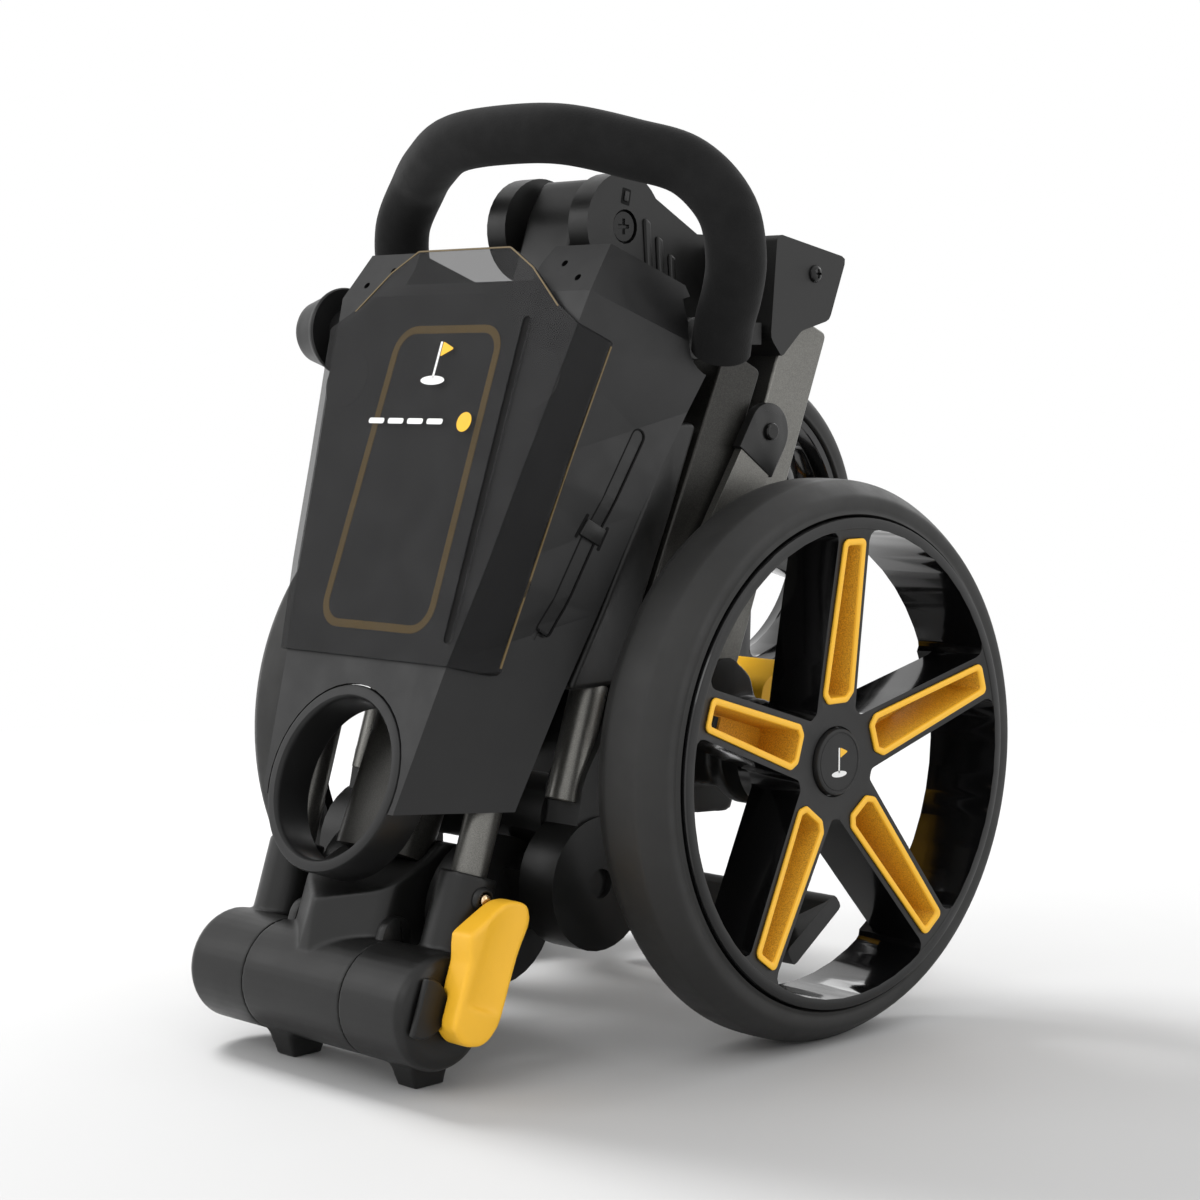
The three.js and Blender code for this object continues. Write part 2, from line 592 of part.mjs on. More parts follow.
// fold lever with its half-round pivot cap, on the right end of the barrel
const LEVER_CAP = { w: -18, v: 0, radius: 14.5 };
{
  const outline = rounded(
    [
      [-8, -6, 3], [-8, 26, 2], [-12, 38, 2], [-2, 49, 6], [8, 59, 6], [20, 61, 6],
      [25, 53, 5], [22, 36, 6], [21.5, 0, 5], [15, -11, 6], [2, -13, 4],
    ].reverse(),
  );
  const { w, v, radius } = LEVER_CAP;
  const notch = rodX(radius + 0.8, BARREL.end - 1, BARREL.end + 5.4, w, v, 32);
  part(leaning, "fold_lever", cut(sideSlab(outline, BARREL.end + 1, 100, 3), notch), YELLOW);
  const half = new THREE.Shape();
  half.absarc(w, v, radius, radians(-105), radians(105));
  half.closePath();
  part(leaning, "lever_cap", sideSlab(half, BARREL.end + 1, BARREL.end + 4.6, 14), CASTING);
}

// carry ring at the bottom of the console
{
  const ring = new THREE.Shape();
  ring.absarc(0, RING.height, RING.outer, 0, Math.PI * 2);
  const hole = new THREE.Path();
  hole.absarc(0, RING.height, RING.inner, 0, Math.PI * 2, true);
  ring.holes.push(hole);
  part(leaning, "carry_ring", frontSlab(ring, CONSOLE_FRONT - 0.8, CONSOLE_FRONT + RING.depth, 20), SATIN);
}

// ---------------------------------------------------------------- console
const CONSOLE = [
  { height: 84, front: 50.4, rear: 84.6, far: 8 },
  { height: 105, front: 53.5, rear: 85.5, far: 10.5 },
  { height: 163, front: 61.7, rear: 87, far: 20 },
  { height: 208, front: 70.6, rear: 88.5, far: 29 },
  { height: 263, front: 79, rear: 91, far: 38 },
  { height: 321, front: 88.8, rear: 95, far: 49.5 },
  { height: 354, front: 94, rear: 98, far: 56.6 },
].map((s) => ({ ...s, near: CONSOLE_FRONT }));
const EAR = [
  { height: 353.9, front: 94, near: CONSOLE_FRONT, rear: 98, far: 56.6 },
  { height: 382, front: 90.3, near: CONSOLE_FRONT + 9, rear: 91, far: 30 },
];
const grow = (sections, by) =>
  sections.map((s) => ({ ...s, front: s.front + by, rear: s.rear + by, near: s.near - by }));
// the same side panels, carried further back
const extend = (sections, by) =>
  sections.map((s) => ({
    ...s,
    rear: s.rear + ((s.rear - s.front) * by) / (s.far - s.near),
    far: s.far + by,
  }));

{
  const outer = solid(loft(CONSOLE)).add(solid(loft(EAR)));
  const hollow = extend(grow(CONSOLE, -CONSOLE_WALL), 40);
  hollow[hollow.length - 1].height -= 14;
  hollow.unshift({ ...hollow[0], height: 60 });
  let shell = outer.subtract(solid(loft(hollow)));
  // the rear is open between the side panels, and the top is open between the two ears for the spine
  shell = shell.subtract(solid(box(-48, 48, CONSOLE_FRONT + CONSOLE_WALL, 120, 300, 420)));
  shell = shell.subtract(
    solid(frontSlab(rounded([[-45, 362], [45, 362], [54, 390], [-54, 390]], 2), CONSOLE_FRONT - 20, 120)),
  );
  // the bottom edge is level, and a round notch clears the carry ring
  shell = shell.subtract(solid(uprightBox(-120, 120, -160, 60, 60, 131)));
  const notch = new THREE.Shape();
  notch.absarc(0, RING.height, RING.outer + 0.6, 0, Math.PI * 2);
  shell = shell.subtract(solid(frontSlab(notch, CONSOLE_FRONT - 20, CONSOLE_FRONT + RING.depth + 10, 20)));
  // pockets for the grip's pivot ends and the tops of the handle tubes
  for (const { sign } of SIDES) {
    shell = shell.subtract(solid(rod(tubeAt(sign, 80), tubeAt(sign, 319), TUBE_RADIUS + GAP, 20)));
    const [w, v] = lean(GRIP_PIVOT.y, GRIP_PIVOT.z);
    const heel = [sign * GRIP_PIVOT.x, w, v];
    const knee = [sign * GRIP_PIVOT.x, ...lean(95, 384)];
    shell = shell.subtract(solid(rodX(GRIP_RADIUS + 4.4, ...span(sign, 84, 130), w, v, 28)));
    shell = shell.subtract(solid(rod(heel, knee, GRIP_RADIUS + 2, 24)));
    shell = shell.subtract(solid(rodX(11.4, ...span(sign, 74.6, 90), w, v, 24)));
    shell = shell.subtract(solid(rodX(6.4, ...span(sign, 65, 80), w, v, 14)));
  }
  part(leaning, "console_body", toGeometry(shell), SATIN);
}

// lid: a thin smoked cover hinged along its bottom edge, with a lift tab at the top
{
  const outlinePoints = [
    [-35, 377, 5], [-54, 366, 6], [-77, 346, 5], [-104, 330, 14], [-104, 200, 5], [-72, 160.5, 8],
    [72, 160.5, 8], [104, 200, 5], [104, 330, 14], [77, 346, 5], [54, 366, 6], [35, 377, 5],
  ];
  const sections = [...CONSOLE.slice(0, 6), { ...CONSOLE[6], height: 350, front: 93.4, rear: 97.6 }];
  sections.push({ height: 380, front: 98, near: CONSOLE_FRONT - 3.2, rear: 100, far: 60 });
  const sheet = solid(loft(grow(sections, 2.6))).subtract(
    solid(loft(extend(grow(sections, 0.6), 10))),
  );
  const window = solid(frontSlab(rounded(outlinePoints), CONSOLE_FRONT - 30, CONSOLE_FRONT + 23, 2));
  part(leaning, "console_lid", toGeometry(sheet.intersect(window)), SMOKE);
}

// clips on the side panels
for (const { name, sign } of SIDES) {
  const clip = rounded([[10, 239], [22, 239], [22, 252], [10, 252]], 2);
  part(leaning, `side_clip_${name}`, sideSlab(clip, ...span(sign, 88.5, 90.8), 2), CASTING);
}

// accessory knob on the left side of the console
{
  const [w, v] = lean(25, 366);
  const stem = rod([-99, w, v], [-106, w, v], 12, 24);
  const cone = rod([-106, w, v], [-131, w, v], 24, 30, 17);
  part(leaning, "accessory_knob", join(stem, cone), SATIN);
}

// ---------------------------------------------------------------- grip loop
{
  const legPoints = [
    [GRIP_PIVOT.x - 1, 100.5, 354],
    [107.5, 95, 369],
    [117.5, 89.6, 384],
    [125, 84, 400],
    [122.5, 80, 424],
    [102, 74, 446],
    [76, 60, 455.5],
    [42, 46, 464],
    [0, 42, 466],
  ];
  const route = [...legPoints, ...legPoints.slice(0, -1).reverse().map(([x, y, z]) => [-x, y, z])];
  const curve = new THREE.CatmullRomCurve3(route.map((p) => new THREE.Vector3(...p)), false, "centripetal");
  const section = new THREE.Shape();
  section.absarc(0, 0, GRIP_RADIUS, 0, Math.PI * 2);
  const options = { extrudePath: curve, steps: 36, curveSegments: 7, bevelEnabled: false };
  part(model, "grip_foam", new THREE.ExtrudeGeometry(section, options), FOAM);
  for (const { name, sign } of SIDES) {
    const { y, z } = GRIP_PIVOT;
    const disc = rodX(11, ...span(sign, 75, 83.6), y, z, 24);
    part(model, `grip_end_${name}`, join(disc, rodX(6, ...span(sign, 68, 80), y, z, 14)), CASTING);
  }
}

export default trolley;
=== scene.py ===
"""Looks for the folded three-wheel golf trolley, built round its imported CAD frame. Metres, +Z up."""
import json
import math

import bmesh
import bpy
from mathutils import Matrix, Vector, noise
from mathutils.bvhtree import BVHTree


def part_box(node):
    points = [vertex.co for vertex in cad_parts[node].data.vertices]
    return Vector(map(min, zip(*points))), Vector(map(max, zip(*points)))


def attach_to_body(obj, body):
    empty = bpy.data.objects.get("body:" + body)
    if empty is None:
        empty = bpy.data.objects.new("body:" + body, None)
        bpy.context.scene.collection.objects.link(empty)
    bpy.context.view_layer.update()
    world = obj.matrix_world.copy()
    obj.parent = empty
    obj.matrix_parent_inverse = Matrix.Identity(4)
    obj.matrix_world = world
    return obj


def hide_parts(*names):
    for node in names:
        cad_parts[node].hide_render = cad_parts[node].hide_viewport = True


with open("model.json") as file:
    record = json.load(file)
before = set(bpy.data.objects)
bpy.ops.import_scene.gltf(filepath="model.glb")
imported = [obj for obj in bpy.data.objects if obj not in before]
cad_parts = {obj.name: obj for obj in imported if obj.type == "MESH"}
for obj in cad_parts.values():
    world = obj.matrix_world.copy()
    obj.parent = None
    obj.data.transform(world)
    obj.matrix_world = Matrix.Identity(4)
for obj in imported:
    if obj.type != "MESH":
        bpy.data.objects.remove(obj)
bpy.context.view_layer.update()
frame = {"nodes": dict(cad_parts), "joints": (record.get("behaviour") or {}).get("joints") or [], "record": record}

MM = 0.001
BODY_OF = {n: body for body, nodes in frame["record"]["behaviour"]["bodies"].items() for n in nodes}
SLOT_OF = {s["node"]: s["material_slot"] for s in frame["record"]["subparts"]}
PIVOT = {j["name"]: Vector(j["pos_m"]) for j in frame["joints"] if "pos_m" in j}
BARREL = PIVOT["handle_fold"]
TOP_HINGE = PIVOT["spine_fold"]
REAR_AXLE = Vector((0, PIVOT["rear_wheel_left_spin"].y, PIVOT["rear_wheel_left_spin"].z))
FRONT_AXLE = PIVOT["front_wheel_spin"]
LEAN = math.radians(19.9)  # how far the console and the spine lean back

# A piece is drawn in millimetres in one of these frames, then carried to its place.
UPRIGHT = Matrix.Scale(MM, 4)
LEANING = Matrix.Translation(BARREL) @ Matrix.Rotation(-LEAN, 4, "X") @ Matrix.Scale(MM, 4)
SIDES = (("left", -1), ("right", 1))


def at(point):
    """The upright millimetre frame, centred on a point of the model."""
    return Matrix.Translation(point) @ Matrix.Scale(MM, 4)


# ---------------- camera, floor and light
LENS = 78.38  # in mm, on a 36 mm sensor
CAMERA_PLACE = (0.9981, -0.99685, 0.3396)
CAMERA_PITCH, CAMERA_HEADING = 90 - 4.8, 44.79  # in degrees


def placed(name, data, place):
    """An object in the scene that shows this data at a place."""
    made = bpy.data.objects.new(name, data)
    made.location = place
    bpy.context.scene.collection.objects.link(made)
    return made


def make_camera():
    data = bpy.data.cameras.new("camera")
    data.sensor_width = 36
    data.lens = LENS
    camera = placed("camera", data, CAMERA_PLACE)
    camera.rotation_euler = (math.radians(CAMERA_PITCH), 0, math.radians(CAMERA_HEADING))
    bpy.context.scene.camera = camera


def area_light(name, place, aim, size, power):
    data = bpy.data.lights.new(name, "AREA")
    data.shape = "RECTANGLE"
    data.size, data.size_y = size
    data.energy = power
    light = placed(name, data, place)
    light.rotation_euler = (Vector(aim) - Vector(place)).to_track_quat("-Z", "Y").to_euler()
    return light


def make_studio():
    scene = bpy.context.scene
    scene.view_settings.view_transform = "Standard"
    scene.view_settings.look = "None"
    world = bpy.data.worlds.new("studio")
    scene.world = world
    world.use_nodes = True
    sky = world.node_tree.nodes["Background"]
    sky.inputs["Color"].default_value = (1, 1, 1, 1)
    sky.inputs["Strength"].default_value = 1.0
    middle = (0, 0, 0.2)
    key = area_light("key", (-1.9, 0.15, 1.9), middle, (0.8, 0.8), 90)
    key.visible_glossy = False  # it casts the soft shadow, and the other lights make the highlights
    area_light("left", (-1.6, -1.5, 1.4), middle, (0.6, 1.4), 6)
    area_light("front", (0.2, -1.8, 1.5), middle, (1.3, 0.8), 5)
    area_light("back", (-0.4, 1.9, 1.3), middle, (1.8, 0.7), 9)
    area_light("right", (1.9, 0.9, 0.8), middle, (0.4, 1.4), 5)
    floor = plane("floor", 14, 0)
    floor.data.materials.append(floor_material())


FLOOR_FADE = (0.42, 1.25)  # how far from the middle the floor starts and ends turning into light


def floor_material():
    """Pale floor under the trolley that turns into plain white light further out, so no horizon shows."""
    made = Nodes("floor_white")
    made.set(Base_Color=(0.50, 0.50, 0.50, 1), Roughness=0.7, Specular_IOR_Level=0.2)
    distance = made.add("ShaderNodeVectorMath", {0: made.where}, operation="LENGTH")
    share = made.spread(distance.outputs["Value"], 0.0, 1.0, *FLOOR_FADE)
    glow = made.add("ShaderNodeEmission", {"Strength": 1.0})
    shaders = {"Fac": share, 1: made.shader.outputs["BSDF"], 2: glow.outputs["Emission"]}
    blend = made.add("ShaderNodeMixShader", shaders)
    made.fill(made.tree.nodes["Material Output"], {"Surface": blend.outputs["Shader"]})
    return made.material


def plane(name, half, z):
    mesh = bpy.data.meshes.new(name)
    corners = [(-half, -half, z), (half, -half, z), (half, half, z), (-half, half, z)]
    mesh.from_pydata(corners, [], [(0, 1, 2, 3)])
    return placed(name, mesh, (0, 0, 0))


# ---------------- materials
class Nodes:
    """A short way to write a material's nodes."""

    def __init__(self, name):
        self.material = bpy.data.materials.new(name)
        self.material.use_nodes = True
        self.tree = self.material.node_tree
        self.shader = self.tree.nodes["Principled BSDF"]
        self.where = self.add("ShaderNodeTexCoord").outputs["Object"]

    def fill(self, node, inputs):
        """Gives each named input of a node its value, or a link where that is another node's output."""
        for name, value in inputs.items():
            if isinstance(value, bpy.types.NodeSocket):
                self.tree.links.new(value, node.inputs[name])
            else:
                node.inputs[name].default_value = value
        return node

    def add(self, kind, inputs=None, **settings):
        node = self.tree.nodes.new(kind)
        for key, value in settings.items():
            setattr(node, key, value)
        return self.fill(node, inputs or {})

    def set(self, **values):
        self.fill(self.shader, {key.replace("_", " "): value for key, value in values.items()})

    def noise(self, scale, detail=3, roughness=0.55):
        inputs = {"Scale": scale, "Detail": detail, "Roughness": roughness, "Vector": self.where}
        return self.add("ShaderNodeTexNoise", inputs).outputs["Fac"]

    def cells(self, scale):
        return self.add("ShaderNodeTexVoronoi", {"Scale": scale, "Vector": self.where}).outputs["Distance"]

    def spread(self, value, low, high, start=0.3, end=0.7):
        inputs = {"From Min": start, "From Max": end, "To Min": low, "To Max": high, "Value": value}
        return self.add("ShaderNodeMapRange", inputs).outputs["Result"]

    def ramp(self, value, low, high, start=0.3, end=0.7):
        node = self.add("ShaderNodeValToRGB", {"Fac": value})
        for element, place, color in zip(node.color_ramp.elements, (start, end), (low, high)):
            element.position = place
            element.color = (*color, 1)
        return node.outputs["Color"]

    def bump(self, height, depth, strength=1.0, under=None):
        inputs = {"Strength": strength, "Distance": depth, "Height": height}
        if under is not None:
            inputs["Normal"] = under
        return self.add("ShaderNodeBump", inputs).outputs["Normal"]


def shade(color, factor):
    return tuple(min(1, c * factor) for c in color)


def material(name, color, roughness, grain=0.00004, grain_scale=2600, vary=0.12, rough_vary=0.05,
             metallic=0.0, coat=0.0, alpha=1.0, speckle=0.0, **more):
    """Moulded plastic or painted metal: fine grain, slow colour and gloss variation, optional speckle."""
    made = Nodes(name)
    tint = made.ramp(made.noise(14, 4), shade(color, 1 - vary), shade(color, 1 + vary))
    if speckle:
        dark, light = shade(color, 1 - speckle), shade(color, 1 + speckle)
        fleck = made.ramp(made.noise(1900, 2), dark, light, 0.38, 0.66)
        inputs = {"Fac": 0.6, "Color1": tint, "Color2": fleck}
        tint = made.add("ShaderNodeMixRGB", inputs, blend_type="MIX").outputs["Color"]
    gloss = made.spread(made.noise(60, 3), roughness - rough_vary, roughness + rough_vary)
    if grain:
        more["Normal"] = made.bump(made.noise(grain_scale, 2), grain)
    made.set(Base_Color=tint, Roughness=gloss, Metallic=metallic, Coat_Weight=coat, Alpha=alpha, **more)
    return made.material


def foam_material():
    made = Nodes("foam")
    tint = made.ramp(made.noise(22, 4), (0.0055, 0.0055, 0.0056), (0.0080, 0.0080, 0.0081))
    skin = made.bump(made.cells(1100), 0.00012, 0.7)
    made.set(Base_Color=tint, Roughness=made.spread(made.noise(90), 0.82, 0.95),
             Normal=made.bump(made.noise(260, 4), 0.0001, 0.5, skin),
             Sheen_Weight=0.04, Sheen_Roughness=0.5, Specular_IOR_Level=0.22)
    return made.material


def tyre_material():
    made = Nodes("tyre")
    tint = made.ramp(made.noise(18, 5), (0.0130, 0.0130, 0.0125), (0.0200, 0.0196, 0.0188))
    fine = made.bump(made.noise(2400, 2), 0.00004, 0.8)
    made.set(Base_Color=tint, Roughness=made.spread(made.noise(70, 4), 0.50, 0.62),
             Normal=made.bump(made.noise(500, 3), 0.00006, 0.5, fine), Specular_IOR_Level=0.4)
    return made.material


def yellow_grain_material():
    made = Nodes("yellow_grain")
    grit = made.noise(1500, 3, 0.7)
    tint = made.ramp(grit, (0.46, 0.215, 0.008), (0.84, 0.45, 0.02), 0.36, 0.62)
    made.set(Base_Color=tint, Roughness=made.spread(made.noise(800), 0.5, 0.75),
             Normal=made.bump(grit, 0.0002, 0.8))
    return made.material


def brushed(name, color, roughness):
    """Metal with fine lines along X."""
    made = Nodes(name)
    stretch = made.add("ShaderNodeMapping", {"Scale": (60, 2200, 2200), "Vector": made.where})
    lines = made.add("ShaderNodeTexNoise", {"Scale": 1, "Vector": stretch.outputs["Vector"]})
    streaks = lines.outputs["Fac"]
    made.set(Base_Color=made.ramp(streaks, shade(color, 0.8), shade(color, 1.15)),
             Roughness=made.spread(streaks, roughness - 0.08, roughness + 0.08),
             Normal=made.bump(streaks, 0.00002), Metallic=1.0)
    return made.material


DULL = {"Specular_IOR_Level": 0.38}
PLAIN = {  # colour, roughness, and what differs from the usual
    "yellow": ((0.93, 0.50, 0.022), 0.46, {"grain": 0.00006, "grain_scale": 1800, "vary": 0.04}),
    "rim_gloss": ((0.0028, 0.0028, 0.003), 0.13, {"grain": 0, "rough_vary": 0.03, "coat": 0.2}),
    "rim_satin": ((0.0065, 0.0065, 0.0065), 0.42, DULL),
    "cap": ((0.0075, 0.0075, 0.0075), 0.5, DULL),
    "gunmetal": ((0.17, 0.167, 0.155), 0.32, {"metallic": 0.85, "speckle": 0.3}),
    "dark_tube": ((0.030, 0.029, 0.026), 0.36, {"metallic": 0.6, "speckle": 0.6}),
    "black_screw": ((0.010, 0.010, 0.010), 0.25, {"grain": 0, "metallic": 0.4}),
    "console": ((0.0070, 0.0070, 0.0072), 0.42, {"grain": 0.00001, "speckle": 0.12, **DULL}),
    "nylon": ((0.0062, 0.0062, 0.0060), 0.38, {"grain": 0.00005, **DULL}),
    # near-black with little shine: painted shade for the slots, gaps and recess floors it is laid in
    "deep_black": ((0.0015, 0.0015, 0.0015), 0.6, {"Specular_IOR_Level": 0.15}),
    "olive": ((0.85, 0.52, 0.09), 0.5, {"grain": 0}),
    "magnet": ((0.022, 0.022, 0.023), 0.4, DULL),
    "print_white": ((0.85, 0.85, 0.84), 0.5, {"grain": 0}),
    "print_yellow": ((0.93, 0.50, 0.022), 0.5, {"grain": 0}),
    "smoke": ((0.011, 0.011, 0.0115), 0.4,
              {"alpha": 0.5, "grain": 0, "vary": 0.05, "Specular_IOR_Level": 0.22}),
    # painted highlight: the amber of the light that the lid's edge catches
    "lid_edge": ((0.12, 0.08, 0.025), 0.4, {"grain": 0}),
}


def make_materials():
    made = {}
    for name, (color, roughness, more) in PLAIN.items():
        made[name] = material(name, color, roughness, **more)
    made["tyre"] = tyre_material()
    made["foam"] = foam_material()
    made["yellow_grain"] = yellow_grain_material()
    made["steel"] = brushed("steel", (0.45, 0.45, 0.44), 0.3)
    made["brass"] = brushed("brass", (0.85, 0.62, 0.38), 0.25)
    return made


# the slots whose look has another name than the slot
LOOK_OF_SLOT = {
    "yellow_plastic": "yellow", "cap_plastic": "cap", "gunmetal_tube": "gunmetal", "smoked_lid": "smoke",
    "console_plastic": "console", "moulded_nylon": "nylon",
}


# ---------------- mesh helpers
def new_object(name, mesh, *looks):
    for look in looks:
        mesh.materials.append(MATERIALS[look])
    return placed(name, mesh, (0, 0, 0))


def from_faces(name, points, faces, *looks, matrix=UPRIGHT):
    mesh = bpy.data.meshes.new(name)
    mesh.from_pydata([matrix @ Vector(p) for p in points], [], faces)
    mesh.validate()
    outwards(mesh)
    return new_object(name, mesh, *looks)


def loft_faces(rings, n):
    """The faces that join rings of n points one after another, and close the first and the last."""
    faces = [list(range(n)), list(range((rings - 1) * n, rings * n))]
    for k in range(rings - 1):
        for i in range(n):
            j = (i + 1) % n
            faces.append([k * n + i, k * n + j, (k + 1) * n + j, (k + 1) * n + i])
    return faces


def turned(i, count):
    """The turn about the X axis that carries the first of count even places to place i."""
    return Matrix.Rotation(2 * math.pi * i / count, 4, "X")


def span(sign, near, far):
    """Two distances from the middle plane as places on one side of it, the lower one first."""
    return sorted((sign * near, sign * far))


def outwards(mesh):
    bm = bmesh.new()
    bm.from_mesh(mesh)
    bmesh.ops.recalc_face_normals(bm, faces=bm.faces)
    bm.to_mesh(mesh)
    bm.free()


def smooth(piece, angle=35):
    """Smooth shading, with edges sharper than the angle kept."""
    mesh = piece.data
    mesh.shade_smooth()
    mesh.set_sharp_from_angle(angle=math.radians(angle))
    return piece


def modify(piece, kind, **settings):
    """Gives a piece a modifier with these settings."""
    modifier = piece.modifiers.new(kind.lower(), kind)
    for key, value in settings.items():
        setattr(modifier, key, value)


def apply_modifiers(piece):
    graph = bpy.context.evaluated_depsgraph_get()
    mesh = bpy.data.meshes.new_from_object(piece.evaluated_get(graph))
    old = piece.data
    piece.modifiers.clear()
    piece.data = mesh
    bpy.data.meshes.remove(old)


def copy_of(node, name, look=None):
    mesh = frame["nodes"][node].data.copy()
    mesh.name = name
    mesh.materials.clear()
    slot = SLOT_OF[node]
    return new_object(name, mesh, look or LOOK_OF_SLOT.get(slot, slot))


def clean_flats(mesh, angle):
    """Merges doubled points and the faces that lie within an angle of one plane."""
    bm = bmesh.new()
    bm.from_mesh(mesh)
    bmesh.ops.remove_doubles(bm, verts=bm.verts, dist=0.02 * MM)
    bmesh.ops.dissolve_limit(bm, angle_limit=math.radians(angle), verts=bm.verts, edges=bm.edges)
    bm.to_mesh(mesh)
    bm.free()


def settle(piece, node):
    """A finished piece stands in for its node and rides with its body."""
    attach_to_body(piece, BODY_OF[node])
    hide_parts(node)
    return piece


def attach(piece, body):
    """A finished piece that stands in for no node rides with a body."""
    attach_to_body(piece, body)
    return piece


def add_bevel(piece, width, segments, angle):
    modify(piece, "BEVEL", width=width * MM, segments=segments, limit_method="ANGLE",
           angle_limit=math.radians(angle), use_clamp_overlap=True)


def refined(node, width, look=None, segments=3, flat=1.0, cuts=()):
    """A node's own shape with its flats merged, cutters taken out, and every hard edge rounded."""
    piece = copy_of(node, node + "_shell", look)
    clean_flats(piece.data, flat)
    carve(piece, cuts)
    add_bevel(piece, width, segments, 28)
    apply_modifiers(piece)
    smooth(piece, 40)
    weigh_normals(piece)
    return settle(piece, node)


def carve(piece, cutters):
    """Takes the cutters out of a piece, and removes them."""
    for cutter in cutters:
        modify(piece, "BOOLEAN", operation="DIFFERENCE", solver="EXACT", object=cutter)
    if cutters:
        apply_modifiers(piece)
        for cutter in cutters:
            bpy.data.objects.remove(cutter)


def weigh_normals(piece):
    """Lets the large flat faces set the shading, so that only the rounded edges look curved."""
    modify(piece, "WEIGHTED_NORMAL", keep_sharp=True, weight=80)
    apply_modifiers(piece)


KEPT_SHARE = 0.4  # the share of a casting's faces that is left when it is thinned out


def moulded(node, voxel, rounds, keep=None, cuts=(), holes=()):
    """A node's own shape as one casting: its inner corners filled and its edges rounded.
    keep gives how much a point stays put, from 0 to 1. cuts get rounded edges, holes stay crisp."""
    piece = copy_of(node, node + "_casting")
    carve(piece, cuts)
    modify(piece, "REMESH", mode="VOXEL", voxel_size=voxel * MM)
    apply_modifiers(piece)
    soften = {"factor": 0.5, "iterations": rounds}
    if keep:
        group = piece.vertex_groups.new(name="soft")
        for v in piece.data.vertices:
            group.add([v.index], 1 - keep(v.co), "REPLACE")
        soften["vertex_group"] = "soft"
    modify(piece, "SMOOTH", **soften)
    apply_modifiers(piece)
    modify(piece, "DECIMATE", ratio=KEPT_SHARE)
    apply_modifiers(piece)
    carve(piece, holes)
    settle(smooth(piece, 50), node)


def lathe(name, profile, *looks, matrix=UPRIGHT, segments=96, look_of=None):
    """Turns (radius, x) points about the X axis. A profile that starts and ends on the axis is capped
    there. look_of(k) gives the look of the faces between points k and k + 1."""
    points, rings = [], []
    for radius, x in profile:
        if radius < 1e-6:
            rings.append([len(points)] * segments)
            points.append((x, 0, 0))
            continue
        rings.append(list(range(len(points), len(points) + segments)))
        for i in range(segments):
            turn = 2 * math.pi * i / segments
            points.append((x, radius * math.sin(turn), radius * math.cos(turn)))
    faces, kinds = [], []
    closed = profile[0][0] > 1e-6
    for k in range(len(rings) if closed else len(rings) - 1):
        a, b = rings[k], rings[(k + 1) % len(rings)]
        for i in range(segments):
            j = (i + 1) % segments
            face = [a[i], a[j], b[j], b[i]]
            face = [v for n, v in enumerate(face) if v not in face[:n]]
            if len(face) > 2:
                faces.append(face)
                kinds.append(k)
    made = from_faces(name, points, faces, *looks, matrix=matrix)
    if look_of:
        for face, kind in zip(made.data.polygons, kinds):
            face.material_index = look_of(kind)
    return made


def spline(points, steps):
    """A closed smooth line through (a, b) points."""
    out = []
    n = len(points)
    for i in range(n):
        p = [Vector(points[(i + k - 1) % n]) for k in range(4)]
        for s in range(steps):
            t = s / steps
            out.append(0.5 * (
                (2 * p[1]) + (p[2] - p[0]) * t + (2 * p[0] - 5 * p[1] + 4 * p[2] - p[3]) * t * t
                + (3 * p[1] - p[0] - 3 * p[2] + p[3]) * t ** 3))
    return out


def rounded(corners, radius, steps=5):
    """An outline's points with its corners rounded: corners are (a, b) or (a, b, radius)."""
    out = []
    n = len(corners)
    for i in range(n):
        here = Vector(corners[i][:2])
        before = Vector(corners[i - 1][:2]) - here
        after = Vector(corners[(i + 1) % n][:2]) - here
        wanted = corners[i][2] if len(corners[i]) > 2 else radius
        half = before.angle(after) / 2
        reach = min(wanted / math.tan(half), before.length * 0.48, after.length * 0.48)
        turn_radius = reach * math.tan(half)
        inwards = (before.normalized() + after.normalized()).normalized()
        middle = here + inwards * turn_radius / math.sin(half)
        first = here + before.normalized() * reach - middle
        last = here + after.normalized() * reach - middle
        swing = first.angle_signed(last)
        for k in range(steps + 1):
            cos, sin = math.cos(-swing * k / steps), math.sin(-swing * k / steps)
            out.append(middle + Vector((first.x * cos - first.y * sin, first.x * sin + first.y * cos)))
    return out


def prism(name, outline, low, high, place, *looks, matrix=UPRIGHT, edge=0.0, edge_steps=2):
    """An outline pushed from low to high, with its two rims rounded by edge.
    place(a, b, depth) gives a point's (x, y, z)."""
    levels = []
    for k in range(edge_steps + 1):
        turn = math.pi / 2 * k / edge_steps
        levels.append((edge * (1 - math.sin(turn)), low + edge * (1 - math.cos(turn))))
    if edge == 0:
        levels = levels[:1]
    levels += [(inset, low + high - depth) for inset, depth in reversed(levels)]
    normals = outline_normals(outline)
    points = [place(*(Vector(p) - normal * inset), depth)
              for inset, depth in levels for p, normal in zip(outline, normals)]
    return from_faces(name, points, loft_faces(len(levels), len(outline)), *looks, matrix=matrix)


def leaning(name, outline, low, high, place, look, edge=0.0):
    """A prism drawn in the leaning frame."""
    return prism(name, outline, low, high, place, look, matrix=LEANING, edge=edge)


def outline_normals(outline):
    """The outward direction at each point of an outline, whichever way round it runs."""
    n = len(outline)
    points = [Vector(p) for p in outline]
    following = points[1:] + points[:1]
    area = sum(p.x * q.y - q.x * p.y for p, q in zip(points, following))
    sign = 1 if area > 0 else -1
    normals = []
    for i in range(n):
        along = following[i] - points[i - 1]
        normals.append(Vector((along.y, -along.x)).normalized() * sign)
    return normals


def side_on(a, b, depth):
    """An outline seen from the side: (y, z) with depth along x."""
    return (depth, a, b)


def front_on(a, b, depth):
    """An outline seen from the front: (x, z) with depth along y."""
    return (a, depth, b)


